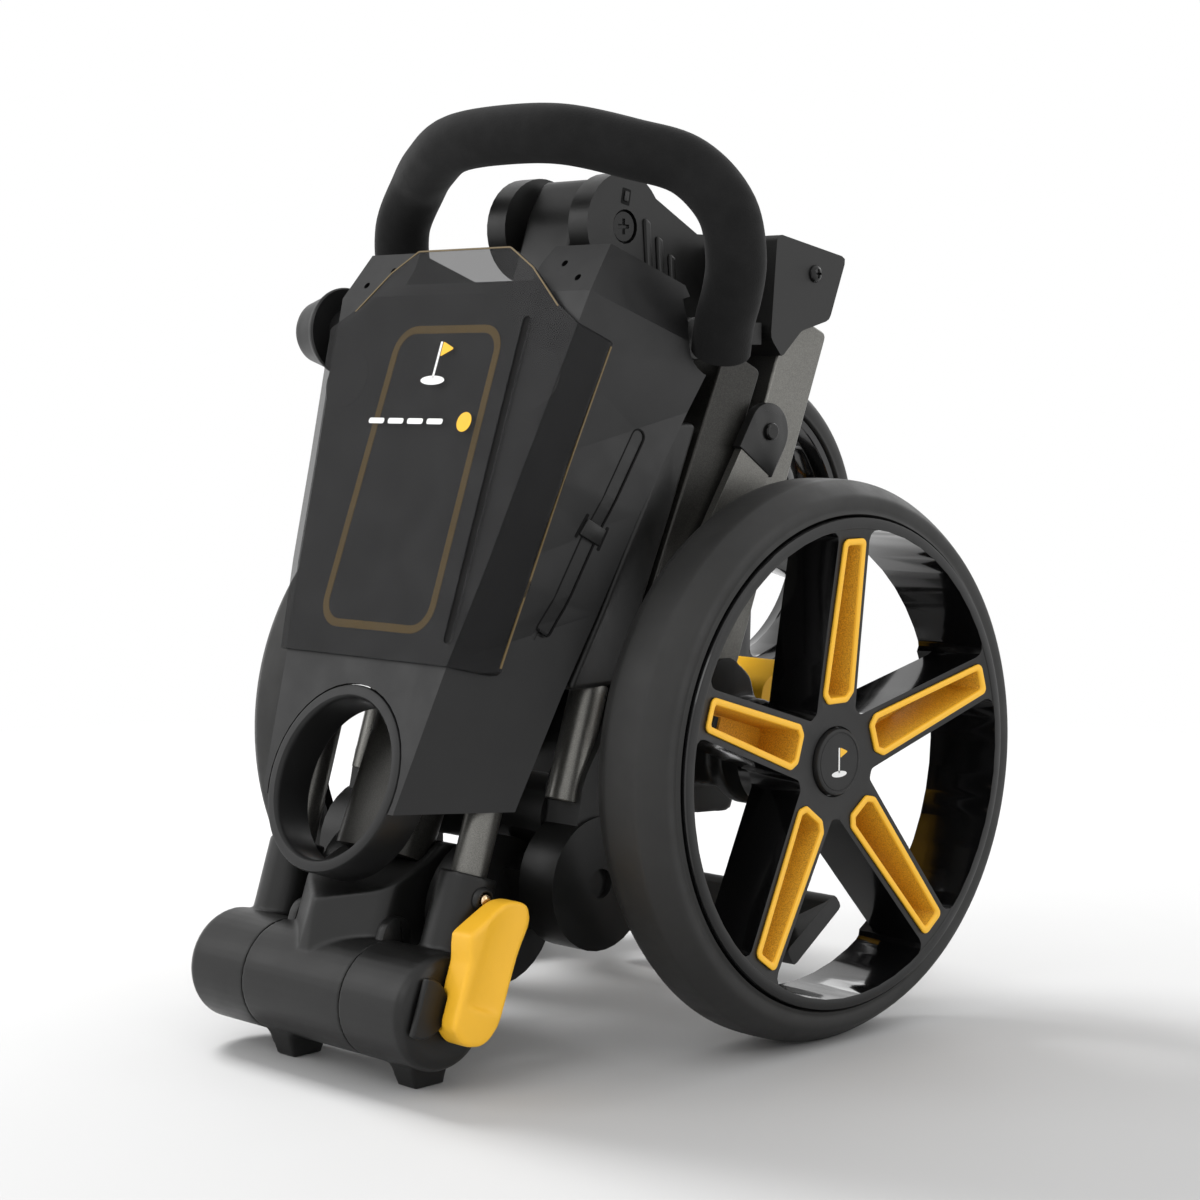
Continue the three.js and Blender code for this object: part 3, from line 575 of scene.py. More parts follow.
def detail(name, outline, ends, edge, place=side_on, body="chassis", angle=35, **more):
    """A moulded piece that is there for its looks alone, pushed between two ends."""
    piece = prism(name, outline, *ends, place, "nylon", edge=edge, **more)
    attach(smooth(piece, angle), body)


def sweep(name, route, radius_at, *looks, matrix=UPRIGHT, ring=36, lumps=0.0):
    """A round section carried along a route of points. radius_at(share) gives its radius."""
    points = []
    count = len(route)
    tangents = [(route[min(i + 1, count - 1)] - route[max(i - 1, 0)]).normalized() for i in range(count)]
    side = tangents[0].orthogonal().normalized()
    for i in range(count):
        side = (side - tangents[i] * side.dot(tangents[i])).normalized()
        up = tangents[i].cross(side)
        radius = radius_at(i / (count - 1))
        for k in range(ring):
            turn = 2 * math.pi * k / ring
            offset = side * math.cos(turn) + up * math.sin(turn)
            swell = 1 - lumps * (0.5 + 0.5 * noise.noise((route[i] + offset * radius) * 0.06))
            points.append(route[i] + offset * radius * swell)
    return from_faces(name, points, loft_faces(count, ring), *looks, matrix=matrix)


def rod(name, start, end, radius, *looks, matrix=UPRIGHT, ring=48, edge=0.6):
    """A straight round bar with softened ends."""
    start, end = Vector(start), Vector(end)
    along = (end - start).normalized()
    route = [start, start + along * edge, end - along * edge, end]
    shares = {0.0: radius - edge, 1.0: radius - edge}
    made = sweep(name, route, lambda s: shares.get(round(s, 3), radius), *looks, matrix=matrix, ring=ring)
    return smooth(made, 40)


def joined(name, pieces):
    """Several meshes as one object, which keeps each one's materials."""
    looks = []
    bm = bmesh.new()
    for piece in pieces:
        start = len(bm.faces)
        bm.from_mesh(piece.data)
        bm.faces.ensure_lookup_table()
        slots = list(piece.data.materials)
        for m in slots:
            if m not in looks:
                looks.append(m)
        for face in bm.faces[start:]:
            face.material_index = looks.index(slots[face.material_index])
    mesh = bpy.data.meshes.new(name)
    bm.to_mesh(mesh)
    bm.free()
    for piece in pieces:
        bpy.data.objects.remove(piece)
    for m in looks:
        mesh.materials.append(m)
    return placed(name, mesh, (0, 0, 0))


# ---------------- wheels
REAR = {"radius": 145, "bead": 126.4, "window": 119.8, "inner": 112, "outer": 158, "face": 161}
SPOKES = 5
HUB_RADIUS = 28
DISH = 12  # how much deeper the hub's face lies than the rim's
THROUGH = (100, 175)  # from inside a rear wheel to outside it, for cutters that go all the way
BRAKE_NOTCHES, BRAKE_RING = 20, 22  # notches in each rear hub, and the radius they lie on
HUB_BACK, NOTCH_FLOOR, NOTCH_RADIUS = 104.2, 112, 2.6
TRAY = {"r0": 30, "r1": 115, "half0": 12, "half1": 8.6, "flange": 3.0, "depth": 26}


def dish(radius):
    """How far the spokes' face lies inside the rim's face at a radius."""
    share = min((REAR["window"] - radius) / (REAR["window"] - HUB_RADIUS), 1)
    return DISH * max(share, 0)


def wheel_matrix(sign):
    turn = Matrix.Rotation(math.pi, 4, "Z") if sign < 0 else Matrix.Identity(4)
    return at(REAR_AXLE) @ turn


def rear_tyre(name, sign):
    R, bead, inner, outer = (REAR[k] for k in ("radius", "bead", "inner", "outer"))
    middle = (inner + outer) / 2
    profile = spline(
        [(bead, inner + 7), (bead + 3, inner + 1.5), (bead + 9, inner + 0.4), (R - 6, inner + 3.6),
         (R - 1.8, inner + 10), (R - 0.25, middle - 8), (R - 0.25, middle + 8), (R - 1.8, outer - 10),
         (R - 6, outer - 3.6), (bead + 9, outer - 0.2), (bead + 3, outer - 0.4), (bead, outer - 3)],
        5,
    )
    piece = lathe(f"rear_tyre_{name}_rubber", [tuple(p) for p in profile], "tyre",
                  matrix=wheel_matrix(sign), segments=160)
    settle(smooth(piece, 60), f"rear_tyre_{name}")


def window_outline(widen):
    """One window between two spokes, in (y, z), centred on straight up."""
    spoke_turn = math.pi / SPOKES
    R = REAR["window"] + 0.4
    half_rim, half_hub = 12.6 - widen, 16.2 - widen
    r_in = 30.0
    reaches = ((r_in, half_hub), (R, half_rim))
    a_in, a_out = (spoke_turn - math.asin(min(half / r, 1)) for r, half in reaches)
    side, height = r_in * math.sin(max(a_in, 0.02)), r_in * math.cos(a_in)
    outline = [(-side, height, 3.0)]
    steps = 9
    for k in range(steps + 1):
        a = -a_out + 2 * a_out * k / steps
        outline.append((R * math.sin(a), R * math.cos(a), 5.0 if k in (0, steps) else 0.01))
    outline.append((side, height, 3.0))
    return rounded(outline, 2.0, 3)


def window_cutter(i, back, front):
    wide, narrow = window_outline(0.0), window_outline(2.6)
    points = [(back, *p) for p in narrow] + [(front, *p) for p in wide]
    matrix = UPRIGHT @ turned(i + 0.5, SPOKES)
    return from_faces(f"window_{i}", points, loft_faces(2, len(wide)), "rim_gloss", matrix=matrix)


def tray_outline(inset, r_in=0.0):
    """The spoke insert's outline in (y, z), moved inwards by inset."""
    r0, r1, half0, half1 = (TRAY[k] for k in ("r0", "r1", "half0", "half1"))
    low, high = r0 + inset, r1 - inset
    slope = (half1 - half0) / (r1 - r0)
    lower, upper = half0 + slope * inset - inset, half1 - slope * inset - inset
    if r_in:
        low = r_in
        lower = half0 + slope * (low - r0) - inset
    corner = max(3.4 - inset * 0.5, 1.0)
    chamfer = 0.0 if r_in else max(4.5 - inset * 0.6, 1.5)
    return rounded(
        [(-lower + chamfer, low), (lower - chamfer, low), (lower, low + chamfer + 0.5), (upper, high),
         (-upper, high), (-lower, low + chamfer + 0.5)],
        corner, 4,
    )


def rear_rim(name, sign):
    bead, window, inner, face = (REAR[k] for k in ("bead", "window", "inner", "face"))
    depth = 34
    hub_face = face - 0.5 - DISH
    profile = [
        (bead - 0.4, inner + 5), (bead - 0.4, face - 1.6), (bead - 0.9, face - 0.5), (bead - 2.0, face),
        (window + 0.8, face), (window + 0.2, face - 0.25), (window, face - 0.6), (HUB_RADIUS, hub_face),
        (18.4, hub_face), (17.9, hub_face - 0.5), (17.9, hub_face - 3), (6.4, hub_face - 3),
        (6.4, HUB_BACK), (HUB_RADIUS - 3, HUB_BACK), (HUB_RADIUS, 106), (HUB_RADIUS, face - depth - DISH),
        (window - 2.6, face - depth), (window - 3, inner + 5),
    ]
    satin = range(2, 9)  # the profile's points from the rim's face to the hub's
    piece = lathe(f"rear_rim_{name}_disc", profile, "rim_gloss", "rim_satin", segments=120,
                  look_of=lambda k: 1 if k in satin else 0)
    carve(piece, [window_cutter(i, *THROUGH) for i in range(SPOKES)])
    pocket = tray_outline(-0.15)
    carve(piece, [prism(f"pocket_{i}", pocket, *THROUGH, side_on, "rim_gloss",
                        matrix=UPRIGHT @ turned(i, SPOKES)) for i in range(SPOKES)])
    ends = [(x, 0, BRAKE_RING) for x in (THROUGH[0], NOTCH_FLOOR)]
    notches = [rod(f"notch_{i}", *ends, NOTCH_RADIUS, "rim_gloss", ring=16,
                   matrix=UPRIGHT @ turned(i, BRAKE_NOTCHES)) for i in range(BRAKE_NOTCHES)]
    carve(piece, [joined("brake_notches", notches)])
    soften_front_edges(piece, 0.8)
    piece.data.transform(wheel_matrix(sign) @ UPRIGHT.inverted())
    settle(smooth(piece, 32), f"rear_rim_{name}")


def soften_front_edges(piece, width):
    """Rounds the edges between the spokes' front face and the windows' walls."""
    bm = bmesh.new()
    bm.from_mesh(piece.data)
    bmesh.ops.remove_doubles(bm, verts=bm.verts, dist=0.01 * MM)
    chosen = []
    for edge in bm.edges:
        if len(edge.link_faces) != 2:
            continue
        facing = [f.normal.x > 0.8 for f in edge.link_faces]
        if facing[0] != facing[1] and edge.calc_face_angle(0) > 0.8:
            chosen.append(edge)
    bmesh.ops.bevel(bm, geom=chosen, offset=width * MM, segments=3, profile=0.5, affect="EDGES",
                    clamp_overlap=True)
    bm.to_mesh(piece.data)
    bm.free()


def spoke_insert(name, sign, i):
    """A yellow tray with a raised lip. The grainy walls and floor lie inside the lip."""
    face = REAR["face"] - 0.5
    flange, back = TRAY["flange"], -TRAY["depth"]
    floor_depth = back + 1.5
    window_low, window_inset, grain_from = TRAY["r0"] + 42, 5.2, 8
    levels = [
        (1.7, back), (1.7, 0.1), (0.15, 0.1), (0.0, 0.6), (0.25, 1.2), (0.9, 1.45), (flange - 0.6, 1.45),
        (flange + 0.1, 1.1), (flange + 0.5, 0.3), (flange + 1.6, floor_depth), (window_inset, floor_depth),
        (window_inset, back),
    ]
    points = []
    for inset, depth in levels:
        outline = tray_outline(inset, window_low if inset == window_inset else 0)
        points += [(face + depth - dish(b), a, b) for a, b in outline]
    n = len(outline)
    faces = []
    for k in range(len(levels)):
        after = (k + 1) % len(levels)
        for s in range(n):
            t = (s + 1) % n
            faces.append([k * n + s, k * n + t, after * n + t, after * n + s])
    node = f"spoke_insert_{name}_{i + 1}"
    matrix = wheel_matrix(sign) @ turned(i, SPOKES)
    piece = from_faces(node + "_tray", points, faces, "yellow", "yellow_grain", matrix=matrix)
    for polygon in piece.data.polygons:
        polygon.material_index = 1 if polygon.index >= grain_from * n else 0
    settle(smooth(piece, 35), node)


def hub_cap(name, sign):
    face = REAR["face"] - DISH
    steps = ((0, -2.6), (17.3, -2.6), (17.3, 1.0), (16.9, 1.7), (16.2, 2.0), (15.4, 2.0), (15.1, 1.7),
             (14.7, 1.7), (14.4, 1.95), (0, 1.95))
    profile = [(radius, face + out) for radius, out in steps]
    piece = lathe(f"hub_cap_{name}_disc", profile, "cap", matrix=wheel_matrix(sign), segments=72)
    settle(smooth(piece, 35), f"hub_cap_{name}")
    matrix = wheel_matrix(sign)
    marks = flag_mark(f"hub_mark_{name}", 0.62, lambda a, b, d: (face + 1.98 + d, a, b), matrix)
    attach(marks, BODY_OF[f"hub_cap_{name}"])


PRINT = (0, 0.12)  # where a printed shape starts and ends above its surface


def flag_mark(name, size, place, matrix):
    """A plain golf flag on its green, the generic mark used on the lid and the hubs."""
    pole = rounded([(-1.0, -9), (0.6, -9), (0.6, 12), (-1.0, 12)], 0.4, 2)
    cloth = rounded([(1.2, 12), (11, 8), (1.2, 3.4)], 0.6, 2)
    turns = [2 * math.pi * k / 28 for k in range(28)]
    green = [(9.5 * math.cos(t), -10 + 2.6 * math.sin(t)) for t in turns]
    parts = []
    for outline, look in ((pole, "print_white"), (cloth, "print_yellow"), (green, "print_white")):
        scaled = [(a * size, b * size) for a, b in outline]
        parts.append(prism(name + look, scaled, *PRINT, place, look, matrix=matrix))
    return joined(name, parts)


FRONT = {"radius": 95, "bead": 79.4, "window": 74, "half": 20}


def front_tyre():
    R, bead, W = (FRONT[k] for k in ("radius", "bead", "half"))
    tread = spline(
        [(bead, -W + 5), (bead + 2.5, -W + 1.2), (R - 6, -W + 2.2), (R - 1.2, -W + 8), (R - 0.2, -5),
         (R - 0.2, 5), (R - 1.2, W - 8), (R - 6, W - 2.2), (bead + 2.5, W - 1.2), (bead, W - 5)], 5)
    piece = lathe("front_tyre_rubber", [tuple(p) for p in tread], "tyre", matrix=at(FRONT_AXLE),
                  segments=120)
    settle(smooth(piece, 60), "front_tyre")


def front_rim():
    """A rim whose two faces mirror each other, with its windows cut out and their edges rounded."""
    bead, window, W = (FRONT[k] for k in ("bead", "window", "half"))
    near = [(bead - 0.4, W - 3.6), (bead - 1, W - 3), (window + 0.6, W - 3), (window, W - 3.6),
            (window - 1.4, 8), (17, 9), (17, W - 2.6), (16.4, W - 2), (5.4, W - 2)]
    far = [(radius, -x) for radius, x in reversed(near)]
    rim = lathe("front_rim_disc", far[-1:] + near + far[:-1], "rim_gloss", segments=96)
    half, low, reach = math.pi / SPOKES, 27, window - 1.6
    inner = 24 * math.sin(half) * 0.55
    outline = [(-inner, low, 3)]
    for k in range(7):
        a = (-1 + 2 * k / 6) * (half - math.radians(7))
        outline.append((reach * math.sin(a), reach * math.cos(a), 5 if k in (0, 6) else 0.01))
    outline = rounded(outline + [(inner, low, 3)], 2, 3)
    carve(rim, [prism(f"front_window_{i}", outline, -30, 30, side_on, "rim_gloss",
                      matrix=UPRIGHT @ turned(i + 1, SPOKES)) for i in range(SPOKES)])
    clean_flats(rim.data, 0.2)
    add_bevel(rim, 0.8, 2, 50)
    apply_modifiers(rim)
    rim.data.transform(at(FRONT_AXLE) @ UPRIGHT.inverted())
    settle(smooth(rim, 32), "front_rim")


# ---------------- barrel, spine and lever
TUBE_FOOT = (66, 8.5, 64)  # where a handle tube starts; it splays and leans from there
TUBE_SPLAY, TUBE_LEAN, TUBE_RADIUS = 0.02, -0.03, 9
TUBE_ENDS, SLEEVE_ENDS = (41, 318), (163, 217)
BUTTON_HEIGHT = 57
BARREL_SEAM = 38  # from the middle plane to the seam between the barrel's middle and an arm


def tube_at(sign, height):
    """A point on a handle tube's middle line, in the leaning frame."""
    x, depth, foot = TUBE_FOOT
    return Vector((sign * (x + TUBE_SPLAY * (height - foot)), depth + TUBE_LEAN * (height - foot), height))


def near_seam(co):
    """Close to 1 beside the barrel's two seams, so that its edges stay crisp there, falling to 0."""
    away = abs(abs(co.x) - BARREL_SEAM * MM) / MM
    return max(0.0, min(1.0, 1 - (away - 1.5) / 3)) * 0.85


def barrel():
    moulded("barrel_middle", 0.85, 14, keep=near_seam)
    button = tube_at(1, BUTTON_HEIGHT)
    button_hole = rod("button_hole", (77, *button.yz), (92, *button.yz), 3.7, matrix=LEANING)
    moulded("barrel_arm_left", 0.85, 14, keep=near_seam)
    moulded("barrel_arm_right", 0.85, 14, keep=near_seam, holes=[button_hole])
    refined("barrel_pin", 0.5)


def handle_tubes():
    """Each tube has a dark sleeve where it grazes the console's side panel."""
    for name, sign in SIDES:
        node = f"handle_tube_{name}"
        low, high = (tube_at(sign, h) for h in TUBE_ENDS)
        metal = rod("tube", low, high, TUBE_RADIUS, "gunmetal", matrix=LEANING)
        low, high = (tube_at(sign, h) for h in SLEEVE_ENDS)
        sleeve = rod("sleeve", low, high, TUBE_RADIUS + 0.04, "console", matrix=LEANING, edge=0.3)
        settle(smooth(joined(node + "_metal", [metal, sleeve]), 40), node)


def lever():
    """The yellow lever, hollowed along its face for the thumb, and its pivot cap."""
    thumb = rod("thumb_hollow", (138.2, 8, 6), (138.2, 10, 90), 40, "yellow", matrix=LEANING, ring=120)
    moulded("fold_lever", 0.7, 34, cuts=[thumb])
    refined("lever_cap", 1.2, segments=4)


def latch_button():
    """The brass button in the right arm, and the nylon collar round it."""
    brass = [(0, 79.5), (3.2, 79.5), (3.2, 82.4), (2.6, 83.2), (1.6, 83.5), (0, 83.5)]
    place = LEANING @ Matrix.Translation((0, *tube_at(1, BUTTON_HEIGHT).yz))
    head = lathe("latch_button_brass", brass, "brass", matrix=place, segments=40)
    settle(smooth(head, 50), "latch_button")
    collar = spline([(3.9, 79.6), (3.9, 81.6), (4.5, 82.3), (5.6, 82.0), (6.4, 80.8), (6.6, 79.6)], 3)
    ring = lathe("button_collar", [tuple(p) for p in collar], "nylon", matrix=place, segments=40)
    attach(smooth(ring, 60), "handle_frame")


def spine():
    """A flat-sided tube from the barrel up to the eye on the top hinge."""
    half, deep, corner = 27, 15.5, 13
    low, high = 70, 375
    foot = Vector((0, 9, low))
    head = Vector((0, lean(TOP_HINGE.y, TOP_HINGE.z)[0] - 1.5, high))
    section = rounded([(-half, -deep), (half, -deep), (half, deep), (-half, deep)], corner, 8)
    side = Vector((1, 0, 0))
    out = (head - foot).normalized().cross(side)
    points = [end + side * a + out * b for end in (foot, head) for a, b in section]
    faces = loft_faces(2, len(section))
    piece = from_faces("spine_tube_metal", points, faces, "dark_tube", matrix=LEANING)
    settle(smooth(piece, 30), "spine_tube")
    refined("spine_eye", 3.0, segments=5)


def lean(y, z):
    """A model point's (depth, height) in the leaning frame, in millimetres."""
    dy, dz = (y - BARREL.y) / MM, (z - BARREL.z) / MM
    return (dy * math.cos(LEAN) - dz * math.sin(LEAN), dy * math.sin(LEAN) + dz * math.cos(LEAN))


# ---------------- console and lid
CONSOLE_FRONT = -35.2
# heights, each with the side panel's front x, its rear x and the rear edge's depth
SIDE_LINE = ((84, 50.4, 84.6, 8), (105, 53.5, 85.5, 10.5), (163, 61.7, 87, 20), (208, 70.6, 88.5, 29),
             (263, 79, 91, 38), (321, 88.8, 95, 49.5), (354, 94, 98, 56.6))


def side_x(depth, height):
    """How far out the console's side panel stands at a depth and height of the leaning frame."""
    for (h0, f0, r0, d0), (h1, f1, r1, d1) in zip(SIDE_LINE, SIDE_LINE[1:]):
        if height <= h1 or h1 == SIDE_LINE[-1][0]:
            t = (height - h0) / (h1 - h0)
            front, rear, far = f0 + (f1 - f0) * t, r0 + (r1 - r0) * t, d0 + (d1 - d0) * t
            return front + (rear - front) * (depth - CONSOLE_FRONT) / (far - CONSOLE_FRONT)
    return 0.0


def on_side(sign):
    """Places an outline given in (depth, height) on the console's side panel."""
    return lambda a, b, out: (sign * (side_x(a, b) + out), a, b)


def capsule(a0, b0, a1, b1, radius):
    """A slot's outline between two ends."""
    steps = 10
    start, end = Vector((a0, b0)), Vector((a1, b1))
    turn0 = math.atan2(b1 - b0, a1 - a0)
    out = []
    for centre, first in ((start, turn0 + math.pi / 2), (end, turn0 - math.pi / 2)):
        for k in range(steps + 1):
            turn = first + math.pi * k / steps
            out.append(centre + Vector((math.cos(turn), math.sin(turn))) * radius)
    return out


def circle(a, b, radius, steps=28):
    turns = [2 * math.pi * k / steps for k in range(steps)]
    return [(a + radius * math.cos(t), b + radius * math.sin(t)) for t in turns]


SLOT_ENDS = (5, 192.5, 24.6, 299)  # depth and height of the side slot's two ends
EAR_HOLES = ((65, 371), (80, 362))  # x and height of the two small holes in each ear


def ear_hole_cutters(sign):
    return [leaning("ear_hole", circle(sign * x, v, 1.9, 20), CONSOLE_FRONT - 6, CONSOLE_FRONT + 9,
                    front_on, "deep_black") for x, v in EAR_HOLES]


def console_skin():
    """The console's own surface in the leaning frame, to lay details on."""
    probe = copy_of("console_body", "console_probe")
    probe.data.transform(LEANING.inverted())
    corners = [v.co.copy() for v in probe.data.vertices]
    skin = BVHTree.FromPolygons(corners, [list(p.vertices) for p in probe.data.polygons])
    bpy.data.objects.remove(probe)
    return skin


def on_panel(skin, sign):
    """Places an outline given in (depth, height) on the side panel's real surface."""
    def place(a, b, out):
        hit = skin.ray_cast(Vector((sign * 300, a, b)), Vector((-sign, 0, 0)))[0]
        return ((hit.x if hit else sign * side_x(a, b)) + sign * out, a, b)
    return place


def slot_frame():
    """The side slot's start, its direction, the direction across it, and its length."""
    start, end = Vector(SLOT_ENDS[:2]), Vector(SLOT_ENDS[2:])
    along = (end - start).normalized()
    return start, along, Vector((-along.y, along.x)), (end - start).length


def slot_body(name, radius, low, high, place, look):
    """A body with the slot's outline that follows the side panel."""
    start, along, across, length = slot_frame()
    turns = [math.radians(8 + 82 * k / 7) for k in range(8)]
    tip = [(-radius * math.cos(t), radius * math.sin(t)) for t in turns]
    stations = tip + [(length * k / 16, radius) for k in range(1, 16)]
    stations += [(length - s, w) for s, w in reversed(tip)]
    points = []
    for s, w in stations:
        for way, out in ((1, low), (1, high), (-1, high), (-1, low)):
            p = start + along * s + across * (w * way)
            points.append(place(p.x, p.y, out))
    return from_faces(name, points, loft_faces(len(stations), 4), look, matrix=LEANING)


def console():
    skin = console_skin()
    holes = [tool for _, sign in SIDES for tool in ear_hole_cutters(sign)]
    body = refined("console_body", 1.3, flat=2.2, cuts=holes)
    places = [on_panel(skin, sign) for _, sign in SIDES]
    carve(body, [slot_body("slot_cut", 4.2, -1.5, 5, place, "console") for place in places])
    weigh_normals(smooth(body, 35))
    for (name, _), place in zip(SIDES, places):
        bed = slot_body("bed", 3.5, -2.0, -0.7, place, "console")
        # A near-black ring lines the slot's walls and rim: painted shade of the recess.
        shade_ring = slot_body("shade_ring", 4.3, -2.0, 0.05, place, "deep_black")
        carve(shade_ring, [slot_body("inside", 3.45, -3.0, 1.0, place, "deep_black")])
        attach(joined(f"side_slot_{name}_bed", [bed, shade_ring]), "handle_frame")
        clip(name, place)


def clip(name, place):
    """The clip that bridges the side slot, between its two dark slits: near-black blocks of painted shade, with no
    opening cut.
    """
    node = f"side_clip_{name}"
    start, along, across, length = slot_frame()
    middle = start + along * (length / 2)

    def block(piece, u, half_u, half_v, low, high, look, edge):
        left, right = u - half_u, u + half_u
        corners = [(left, -half_v), (right, -half_v), (right, half_v), (left, half_v)]
        outline = [middle + across * p.x + along * p.y for p in rounded(corners, 0.6, 3)]
        return leaning(piece, outline, low, high, place, look, edge)

    parts = [block("clip_middle", 0, 6.2, 4.4, -0.3, 1.3, "nylon", 0.5)]
    # the slits are painted shade: flush near-black blocks, not openings
    parts += [block("clip_slit_shade", 6.9 * way, 0.9, 6.6, -0.5, 0.12, "deep_black", 0) for way in (-1, 1)]
    settle(smooth(joined(node + "_bridge", parts), 35), node)


LID_NEAR = CONSOLE_FRONT - 2.6  # the depth of the lid's front
LID_SLOT = (59.3, 174, 56.7, 338, 2.4)  # x and height of the slot's two ends, and its radius


def lid():
    outline = capsule(*LID_SLOT)
    cutter = leaning("slot_cutter", outline, LID_NEAR - 4, LID_NEAR + 1.2, front_on, "console")
    refined("console_lid", 0.9, flat=2.2, cuts=[cutter])
    # Behind the cut lies a near-black floor: painted shade of the slot's depth.
    bed = leaning("lid_slot_shade", outline, LID_NEAR + 0.8, LID_NEAR + 1.7, front_on, "deep_black")
    attach(bed, "lid")


LID_LEFT = ((-35, 377, 5), (-54, 366, 6), (-77, 346, 5), (-104, 330, 14), (-104, 200, 5), (-72, 160.5, 8))
LID_OUTLINE = (*LID_LEFT, *((-x, height, corner) for x, height, corner in reversed(LID_LEFT)))


def lid_front(height):
    """The depth of the lid's front at a height: its lift tab leans forward."""
    return LID_NEAR - 3.2 * max(0.0, (height - 350) / 30)


def lid_edge():
    """A thin amber line painted along the parts of the lid's edge that lie on its front: a painted highlight for
    the light that the edge catches.
    """
    outline = rounded(LID_OUTLINE, 5, 6)
    normals = outline_normals(outline)
    runs, run = [], []
    for i, p in enumerate(outline + outline[:1]):
        inside = abs(p.x) < side_x(CONSOLE_FRONT, p.y) + 2
        if inside:
            run.append((p, normals[i % len(outline)]))
        if run and (not inside or i == len(outline)):
            runs.append(run)
            run = []
    pieces = []
    for run in runs:
        if len(run) < 2:
            continue
        points = []
        for p, out in run:
            for inset, depth in ((1.0, 0.10), (0.2, 0.10), (0.2, -0.3), (1.0, -0.3)):
                points.append((p.x - out.x * inset, lid_front(p.y) - depth, p.y - out.y * inset))
        pieces.append(from_faces("edge_run", points, loft_faces(len(run), 4), "lid_edge", matrix=LEANING))
    # the same painted highlight along the lid's two side edges
    heights = [167 + 166 * k / 14 for k in range(15)]
    strip = [(-12.5, v) for v in heights] + [(-13.4, v) for v in reversed(heights)]
    for _, sign in SIDES:
        pieces.append(leaning("edge_side", strip, 2.3, 2.75, on_side(sign), "lid_edge"))
    attach(joined("lid_edge_highlight_line", pieces), "lid")


def band():
    """The olive band that frames the console's front, seen through the lid."""
    outer = [(-43, 175), (43, 175), (40.5, 337), (-40.5, 337)]
    width = 4.2
    loops = [rounded(outer, 15, 8)]
    normals = outline_normals(loops[0])
    loops.append([p - normal * width for p, normal in zip(loops[0], normals)])
    n = len(loops[0])
    depths = (CONSOLE_FRONT - 0.42, CONSOLE_FRONT - 0.02)
    points = [(p.x, depth, p.y) for depth in depths for loop in loops for p in loop]
    faces = []
    for i in range(n):
        j = (i + 1) % n
        faces += [[i, j, n + j, n + i], [2 * n + i, 2 * n + j, 3 * n + j, 3 * n + i],
                  [i, j, 2 * n + j, 2 * n + i], [n + i, n + j, 3 * n + j, 3 * n + i]]
    piece = from_faces("console_band", points, faces, "olive", matrix=LEANING)
    attach(smooth(piece, 35), "handle_frame")


def magnets():
    """The two dark discs on the console's front that hold the lid."""
    for name, sign in SIDES:
        disc = leaning(f"magnet_{name}", circle(sign * 72, 308, 16, 48), CONSOLE_FRONT - 0.3,
                       CONSOLE_FRONT - 0.02, front_on, "magnet")
        attach(disc, "handle_frame")


def lid_marks():
    """Generic printing on the lid: a golf flag, and below it a row of plain bars and a ball."""
    front = LID_NEAR - 0.05

    def place(a, b, depth):
        return (a, front - depth, b)

    marks = [flag_mark("lid_flag", 0.95, lambda a, b, d: place(a - 1, b + 316, d), LEANING)]
    for k in range(4):
        start = -42 + 15 * k
        bar = rounded([(start, 283), (start + 12, 283), (start + 12, 286), (start, 286)], 1.2, 3)
        marks.append(leaning("bar", bar, *PRINT, place, "print_white"))
    marks.append(leaning("ball", circle(31, 284.5, 5.2), *PRINT, place, "print_yellow"))
    attach(joined("lid_marks", marks), "lid")


def carry_ring():
    height, outer, inner = 98.7, 48, 41
    near, far = CONSOLE_FRONT - 0.8, CONSOLE_FRONT + 22
    profile = [(inner + 1.6, near), (outer - 1.8, near), (outer - 0.6, near + 0.5), (outer, near + 1.8),
               (outer, far - 1), (outer - 1, far), (inner + 1, far), (inner, far - 1), (inner, near + 3.2),
               (inner + 0.5, near + 1.2)]
    turn = Matrix.Translation((0, 0, height)) @ Matrix.Rotation(math.pi / 2, 4, "Z")
    piece = lathe("carry_ring_band", profile, "console", matrix=LEANING @ turn, segments=120)
    settle(smooth(piece, 32), "carry_ring")


def knob():
    low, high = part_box("accessory_knob")
    middle = lean((low.y + high.y) / 2, (low.z + high.z) / 2)
    profile = [(0, -130.9), (13.5, -130.9), (15.6, -130.2), (16.9, -128.4), (17.6, -125.8), (21.2, -113.5),
               (22.6, -109.4), (23.7, -108.4), (23.9, -107.2), (23.2, -106.2), (12, -106.2), (12, -99),
               (0, -99)]
    matrix = LEANING @ Matrix.Translation((0, *middle))
    piece = lathe("accessory_knob_body", profile, "console", matrix=matrix, segments=72)
    settle(smooth(piece, 35), "accessory_knob")


# ---------------- grip
GRIP_RADIUS = 15.3
# the loop's middle line from its right end to the middle: x, then y and height from its pivot
GRIP_HALF = (
    (100, 0.5, -7), (107.5, -5, 8), (117.5, -10.4, 23), (125, -16, 39), (122.5, -20, 63), (102, -26, 85),
    (76, -40, 94.5), (42, -54, 103), (0, -58, 105),
)


def between(a, b, start, end, u):
    """The place at u on the line that is at a when u is start, and at b when u is end."""
    return a * ((end - u) / (end - start)) + b * ((u - start) / (end - start))


def catmull(points, steps):
    """Points along a centripetal spline."""
    ends = [points[0] * 2 - points[1], *points, points[-1] * 2 - points[-2]]
    out = []
    for i in range(1, len(ends) - 2):
        p = ends[i - 1:i + 3]
        t = [0.0]
        for a, b in zip(p, p[1:]):
            t.append(t[-1] + math.sqrt((b - a).length))
        for s in range(steps):
            u = t[1] + (t[2] - t[1]) * s / steps
            a1 = between(p[0], p[1], t[0], t[1], u)
            a2 = between(p[1], p[2], t[1], t[2], u)
            a3 = between(p[2], p[3], t[2], t[3], u)
            b1 = between(a1, a2, t[0], t[2], u)
            b2 = between(a2, a3, t[1], t[3], u)
            out.append(between(b1, b2, t[1], t[2], u))
    out.append(points[-1])
    return out


